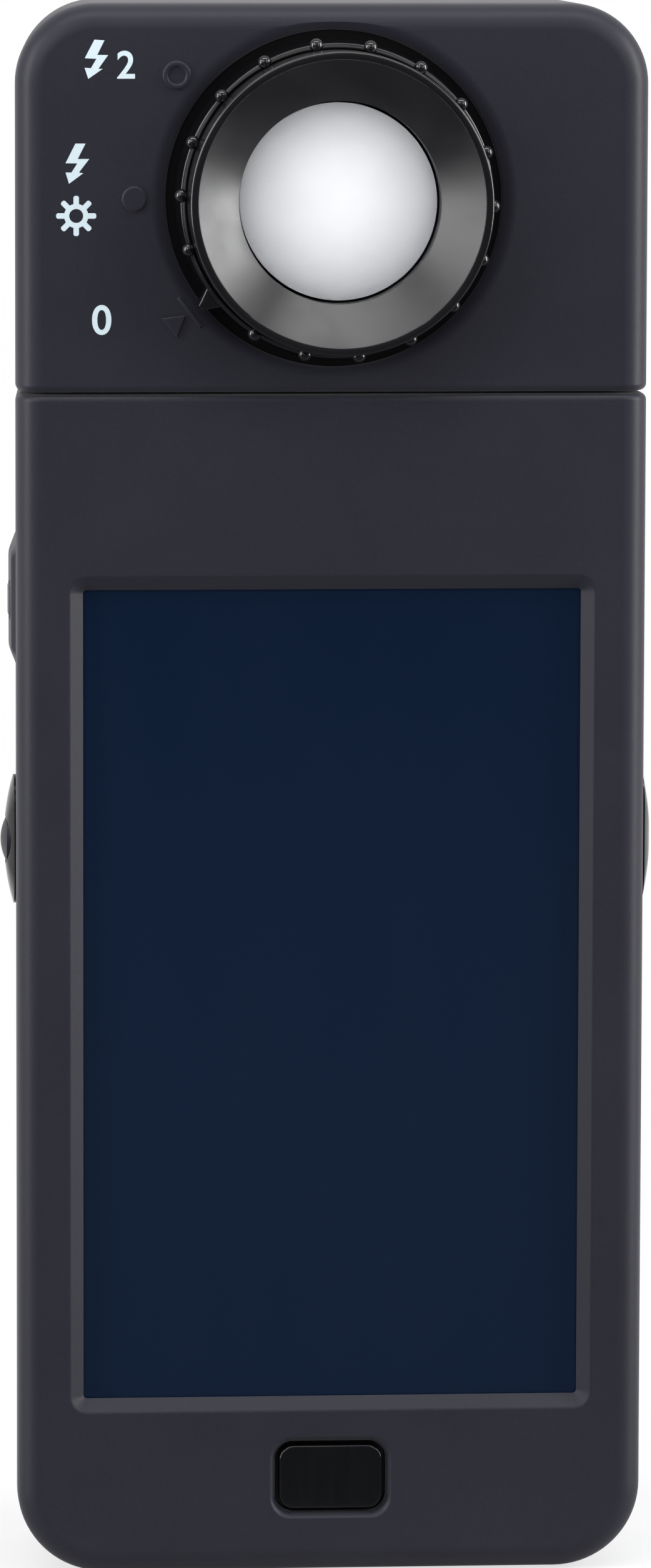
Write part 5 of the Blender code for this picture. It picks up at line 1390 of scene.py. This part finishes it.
# Rear shell of the head. Deep half of the head, moulded and coated like the rear of the body. Its
# lower wall has the hole for the swivel.
head_floor_hole = 0.0053
head_rear = add_rear_half("head_rear", head_low.z, head_high.z, crown_corner, head_high.z,
                          head_low.z)
add_screw_tubes(head_rear, head_screw_places)
carve(head_rear, add_rod("swivel_hole", head_floor_hole, (0, 0, head_low.z - overrun),
                         (0, 0, head_low.z + case_wall + overrun), fine_sides))
finish(head_rear, coat, "head", "case_plastic", "head_rear_shell")

# Printing on the head. Pale pad-print ink, three hundredths of a millimetre thick: two bolt signs,
# a sun sign, and the plain figures 2 and 0.
ink_height = 0.00003
ink_sink = 0.00001
upper_bolt_mm = (
    (-27.56, 178.87), (-26.41, 178.79), (-27.24, 177.13), (-25.99, 177.11), (-27.11, 175.54),
    (-26.62, 175.54), (-28.27, 174.39), (-28.69, 175.66), (-27.97, 175.61), (-27.33, 176.68),
    (-28.67, 176.75))
lower_bolt_mm = (
    (-29.75, 167.0), (-28.59, 167.0), (-29.48, 165.24), (-28.16, 165.24), (-29.35, 163.69),
    (-28.85, 163.61), (-30.48, 162.41), (-30.88, 163.7), (-30.2, 163.69), (-29.53, 164.74),
    (-30.88, 164.75))
sun_place = (-0.02966, 0.15872)
sun_hole, sun_disc, sun_reach, sun_ray = 0.0008, 0.00139, 0.0023, 0.00063
sun_rays = 8
figures = (("2", -0.02394, 0.17581, 0.0031), ("0", -0.02674, 0.14659, 0.0033))
figure_share = 0.70
figure_weight = 0.022


def pad_print_ink():
    """Pale grey-blue two-part ink with a dull, slightly uneven face."""
    material, tree, place = start_material("pad_print_ink")
    speckle_mm = 0.15
    speckle = add_node(tree, "ShaderNodeTexNoise", {
        "Vector": place, "Scale": 1000 / speckle_mm, "Detail": 3.0})
    tone = add_node(tree, "ShaderNodeMixRGB", {
        "Fac": speckle, "Color1": colour("b9cad0"), "Color2": colour("cbdae0")})
    shader = add_node(tree, "ShaderNodeBsdfPrincipled", {"Base Color": tone, "Roughness": 0.55})
    add_node(tree, "ShaderNodeOutputMaterial", {"Surface": shader})
    return material


ink = pad_print_ink()
ink_base = face_y + ink_sink
ink_thick = ink_height + ink_sink
for name, outline_mm in (("upper_bolt", upper_bolt_mm), ("lower_bolt", lower_bolt_mm)):
    bolt = add_plate(name, [(x / 1000, ink_base, z / 1000) for x, z in outline_mm], ink_thick)
    finish(bolt, ink, "head", "pad_print")
sun_centre = Vector((sun_place[0], ink_base, sun_place[1]))
sun = lathe("sun_sign", "-y", sun_centre, [(0, sun_hole), (0, sun_disc), (ink_thick, sun_disc),
                                           (ink_thick, sun_hole), (0, sun_hole)], disc_sides)
half_ray = sun_ray / 2
ray_low, ray_high = (sun_disc + sun_hole) / 2, sun_reach - sun_ray / 4
ray_points = ((ray_low, -half_ray), (ray_high, -half_ray), (sun_reach, -half_ray / 2),
              (sun_reach, half_ray / 2), (ray_high, half_ray), (ray_low, half_ray))
ray = add_plate("ray", [sun_centre + Vector((out, 0, across)) for out, across in ray_points],
                ink_thick)
rays = [copied(ray, turned(sun_centre, 360 * index / sun_rays)) for index in range(1, sun_rays)]
carve(sun, joined([ray, *rays]), operation="UNION")
finish(sun, ink, "head", "pad_print")
for figure, x, z, height in figures:
    bpy.ops.object.select_all(action="DESELECT")
    bpy.ops.object.text_add(location=(x, ink_base - ink_height / 2, z),
                            rotation=(math.pi / 2, 0, 0))
    sign = bpy.context.object
    sign.name = f"figure_{figure}"
    sign.data.body = figure
    sign.data.align_x = "CENTER"
    sign.data.align_y = "CENTER"
    sign.data.size = height / figure_share
    sign.data.offset = height * figure_weight
    sign.data.extrude = ink_height / 2
    bpy.ops.object.convert(target="MESH")
    bpy.ops.object.transform_apply(location=True, rotation=True, scale=True)
    finish(bpy.context.object, ink, "head", "pad_print")

# Well shade ring. A thin ring of black velours on the floor of the well, under the skirt of the
# knob,
# is painted shade: a dark sheet that stands for the shade in the recess round the ring.
shade_ring_sink, shade_ring_thick = 0.00001, 0.0001
# Its near-black colours are painted shade on the well floor.
well_shade_sheet, tree, place = start_material("black_velours")
pile_mm = 0.1
pile = add_node(tree, "ShaderNodeTexNoise", {"Vector": place, "Scale": 1000 / pile_mm})
tone = add_node(tree, "ShaderNodeMixRGB", {
    "Fac": pile, "Color1": colour("060607"), "Color2": colour("0d0d0f")})
shader = add_node(tree, "ShaderNodeBsdfPrincipled", {
    "Base Color": tone, "Roughness": 0.9, "Specular IOR Level": 0.1})
add_node(tree, "ShaderNodeOutputMaterial", {"Surface": shader})
shade_ring_low, shade_ring_high = -well_depth - shade_ring_sink, -well_depth + shade_ring_thick
shade_ring_inner, shade_ring_outer = sleeve_radius + 2 * fit_gap, well_edge - well_round
shade_ring = lathe("well_lining", "-y", well_centre, [
    (shade_ring_low, shade_ring_inner), (shade_ring_low, shade_ring_outer), (shade_ring_high, shade_ring_outer),
    (shade_ring_high, shade_ring_inner), (shade_ring_low, shade_ring_inner)], ring_sides)
finish(shade_ring, well_shade_sheet, "head", "gloss_black")

# Selector ring. A black ABS moulding with round grips on a ledge, a pointer and a conical mouth
# round the light diffuser. Its sleeve runs through the head and carries the aperture disc.
skirt_radius = 0.0183
skirt_height = 0.0008
skirt_flare = 0.0014
ledge_radius = 0.0180
ledge_height = 0.0052
ledge_round, ledge_fillet = 0.0002, 0.0003
rim_radius = 0.0173
rim_height = 0.013
rim_round = 0.0003
rim_round_steps = 6
mouth_radius = 0.01635
mouth_round = 0.00012
throat_radius = 0.01158
throat_height = 0.0095
ring_wall = 0.0010
ring_web = 0.0015
ring_foot = -0.0009
sleeve_end = -0.0054
groove_radius = 0.01228
groove_low, groove_high = -0.00425, -0.00315
grip_radius = 0.0008
grip_inset = 0.0001
grip_first = -2.0
grip_count = 18
pointer_index = 7
pointer_root, pointer_tip = 0.0016, 0.0007
pointer_reach = 0.0019
pointer_round = 0.0002


def ring_moulding():
    """Black ABS with a satin tool finish and a trace of dust in the mouth."""
    material, tree, place = start_material("satin_black_ring")
    haze_mm = 5
    fine_mm = 0.14
    haze = add_node(tree, "ShaderNodeTexNoise", {
        "Vector": place, "Scale": 1000 / haze_mm, "Detail": 6.0})
    fine = add_node(tree, "ShaderNodeTexNoise", {
        "Vector": place, "Scale": 1000 / fine_mm, "Detail": 2.0})
    tone = add_node(tree, "ShaderNodeMixRGB", {
        "Fac": haze, "Color1": colour("0b0b0e"), "Color2": colour("101014")})
    flat = add_node(tree, "ShaderNodeVectorMath", {0: place, 1: (1, 0, 1)}, operation="MULTIPLY")
    radius = add_node(tree, "ShaderNodeVectorMath", {
        0: flat, 1: (0, 0, well_centre.z)}, operation="DISTANCE")
    mouth = add_node(tree, "ShaderNodeMath", {
        0: radius.outputs["Value"], 1: mouth_radius}, operation="LESS_THAN")
    satin = add_node(tree, "ShaderNodeMapRange", {
        "Value": haze, "From Min": 0.35, "From Max": 0.65, "To Min": 0.11, "To Max": 0.19})
    worn = add_node(tree, "ShaderNodeMath", {0: mouth, 1: satin}, operation="MULTIPLY")
    rough = add_node(tree, "ShaderNodeMath", {0: worn, 1: 0.20}, operation="ADD")
    bump = add_node(tree, "ShaderNodeBump", {"Height": fine, "Strength": 0.25, "Distance": 0.00001})
    shader = add_node(tree, "ShaderNodeBsdfPrincipled", {
        "Base Color": tone, "Roughness": rough, "Normal": bump, "Specular IOR Level": 0.8})
    add_node(tree, "ShaderNodeOutputMaterial", {"Surface": shader})
    return material


ring_skin = ring_moulding()
hollow_radius = rim_radius - ring_wall
profile = [(ring_foot, skirt_radius), (skirt_height, skirt_radius)]
profile += [(skirt_height + skirt_flare * share,
             skirt_radius + (ledge_radius - skirt_radius) * share) for share in (0.5, 1)]
profile += rolled_edge(ledge_height, ledge_radius, ledge_round)
profile += [(ledge_height + ledge_fillet * (1 - sine), rim_radius + ledge_fillet * (1 - sine) ** 2)
            for sine, cosine in bow(bevel_steps)]
profile += rolled_edge(rim_height, rim_radius, rim_round, rim_round_steps)
profile += [(rim_height - mouth_round * (1 - cosine), mouth_radius + mouth_round * (1 - sine))
            for sine, cosine in bow(bevel_steps)]
profile += [
    (throat_height, throat_radius), (sleeve_end, throat_radius), (sleeve_end, sleeve_radius),
    (groove_low, sleeve_radius), (groove_low, groove_radius), (groove_high, groove_radius),
    (groove_high, sleeve_radius), (throat_height - ring_web, sleeve_radius),
    (throat_height - ring_web, hollow_radius), (ring_foot, hollow_radius),
    (ring_foot, skirt_radius)]
ring = lathe("ring_knob", "-y", well_centre, profile, ring_sides)
grip_place = around(ledge_radius - grip_inset, grip_first, ledge_height)
bpy.ops.object.select_all(action="DESELECT")
bpy.ops.mesh.primitive_uv_sphere_add(segments=24, ring_count=12, radius=grip_radius,
                                     location=grip_place)
bpy.ops.object.transform_apply(location=True, rotation=False, scale=False)
grip = bpy.context.object
grips = [copied(grip, turned(well_centre, -index * 360 / grip_count))
         for index in range(1, grip_count) if index != pointer_index]
carve(ring, joined([grip, *grips]), operation="UNION")
pointer_angle = grip_first - pointer_index * 360 / grip_count
out = around(1, pointer_angle, 0) - around(0, pointer_angle, 0)
side = Vector((-out.z, 0, out.x))
root = around(ledge_radius - ring_wall / 2, pointer_angle, skirt_height)
tip = around(ledge_radius + pointer_reach, pointer_angle, skirt_height)
shoulder = tip - out * pointer_tip
pointer_points = [root - side * pointer_root, shoulder - side * pointer_tip,
                  tip - side * pointer_tip / 2, tip + side * pointer_tip / 2,
                  shoulder + side * pointer_tip, root + side * pointer_root]
pointer = add_plate("pointer", pointer_points, ledge_height - skirt_height - rim_round)
round_edges(pointer, pointer_round, bevel_steps,
            lambda ends: lie(ends, y=face_y - ledge_height + rim_round))
carve(ring, pointer, operation="UNION")
finish(ring, ring_skin, "ring", "ring_plastic", "selector_ring")

# Light diffuser. An opal acrylic dome that gathers the light. It sits in the mouth of the ring and
# turns with it.
dome_radius = 0.01128
dome_edge = 0.0065
dome_rise = 0.0048
dome_wall = 0.0035
dome_round = 0.0012
dome_seat = 0.0009
cap_rings = 16
cap_end = 89.5
inner_end = 89
inner_rings = 24


def opal_acrylic():
    """Milky acrylic with a fine satin face.

    Light spreads through all of it, so its edges stay nearly as pale as its middle. Leaning the
    normals towards the front does what the long paths of the light in the milk do.
    """
    material, tree, place = start_material("opal_acrylic")
    milk_mm = 6
    satin_mm = 0.2
    milk = add_node(tree, "ShaderNodeTexNoise", {
        "Vector": place, "Scale": 1000 / milk_mm, "Detail": 2.0})
    satin = add_node(tree, "ShaderNodeTexNoise", {
        "Vector": place, "Scale": 1000 / satin_mm, "Detail": 2.0})
    tone = add_node(tree, "ShaderNodeMixRGB", {
        "Fac": milk, "Color1": colour("ebedef"), "Color2": colour("f0f2f3")})
    rough = add_node(tree, "ShaderNodeMapRange", {"Value": satin, "To Min": 0.30, "To Max": 0.40})
    front_code = (0.5, 0.0, 0.5, 1)
    lean = add_node(tree, "ShaderNodeNormalMap", {
        "Color": front_code, "Strength": 0.85}, space="OBJECT")
    shader = add_node(tree, "ShaderNodeBsdfPrincipled", {
        "Base Color": tone, "Roughness": rough, "Normal": lean, "Subsurface Weight": 1.0,
        "Subsurface Radius": (1, 1, 1), "Subsurface Scale": 0.032}, subsurface_method="BURLEY")
    add_node(tree, "ShaderNodeOutputMaterial", {"Surface": shader})
    return material


round_centre = dome_radius - dome_round
cap_radius = (round_centre ** 2 + dome_rise ** 2 - dome_round ** 2) / (2 * (dome_rise - dome_round))
cap_turn = math.degrees(math.atan2(cap_radius - dome_rise, round_centre))
inner_curve = [(dome_edge + (dome_rise - dome_wall) * sine, (dome_radius - dome_wall) * cosine)
               for sine, cosine in bow(inner_rings, inner_end)]
profile = inner_curve[::-1] + [(dome_edge - dome_seat, dome_radius - dome_wall),
                               (dome_edge - dome_seat, dome_radius)]
profile += [(dome_edge + dome_round * sine, round_centre + dome_round * cosine)
            for sine, cosine in bow(small_steps, cap_turn)]
for step in range(1, cap_rings + 1):
    turn = math.radians(cap_turn + (cap_end - cap_turn) * step / cap_rings)
    profile.append((dome_edge + dome_rise - cap_radius * (1 - math.sin(turn)),
                    cap_radius * math.cos(turn)))
dome = lathe("diffuser_cap", "-y", well_centre, profile, ring_sides)
opal = opal_acrylic()
finish(dome, opal, "ring", "diffuser_white", "diffuser_dome")

# Light path. A white barrel under the diffuser, a clear and a grey setting in the aperture disc, a
# slit, a fold mirror and a ruled concave grating that throws the spectrum on the sensor.
dress(opal, "receptor_barrel")
dress(bright_nickel, "slit_plate")
filter_glass, tree, place = start_material("grey_filter_glass")
melt_mm = 2
melt = add_node(tree, "ShaderNodeTexNoise", {"Vector": place, "Scale": 1000 / melt_mm})
tone = add_node(tree, "ShaderNodeMixRGB", {
    "Fac": melt, "Color1": colour("3c3e42"), "Color2": colour("44474b")})
shader = add_node(tree, "ShaderNodeBsdfPrincipled", {
    "Base Color": tone, "Roughness": 0.04, "IOR": 1.52, "Transmission Weight": 0.8})
add_node(tree, "ShaderNodeOutputMaterial", {"Surface": shader})
dress(filter_glass, "density_filter")
mirror_coat, tree, place = start_material("aluminium_mirror_coat")
ruling_mm = 0.25
ruling = add_node(tree, "ShaderNodeTexWave", {"Vector": place, "Scale": 1000 / ruling_mm})
rough = add_node(tree, "ShaderNodeMapRange", {
    "Value": ruling.outputs["Fac"], "To Min": 0.04, "To Max": 0.12})
shader = add_node(tree, "ShaderNodeBsdfPrincipled", {
    "Base Color": colour("dfe2e6"), "Metallic": 1.0, "Roughness": rough})
add_node(tree, "ShaderNodeOutputMaterial", {"Surface": shader})
dress(mirror_coat, "fold_mirror", "concave_grating")
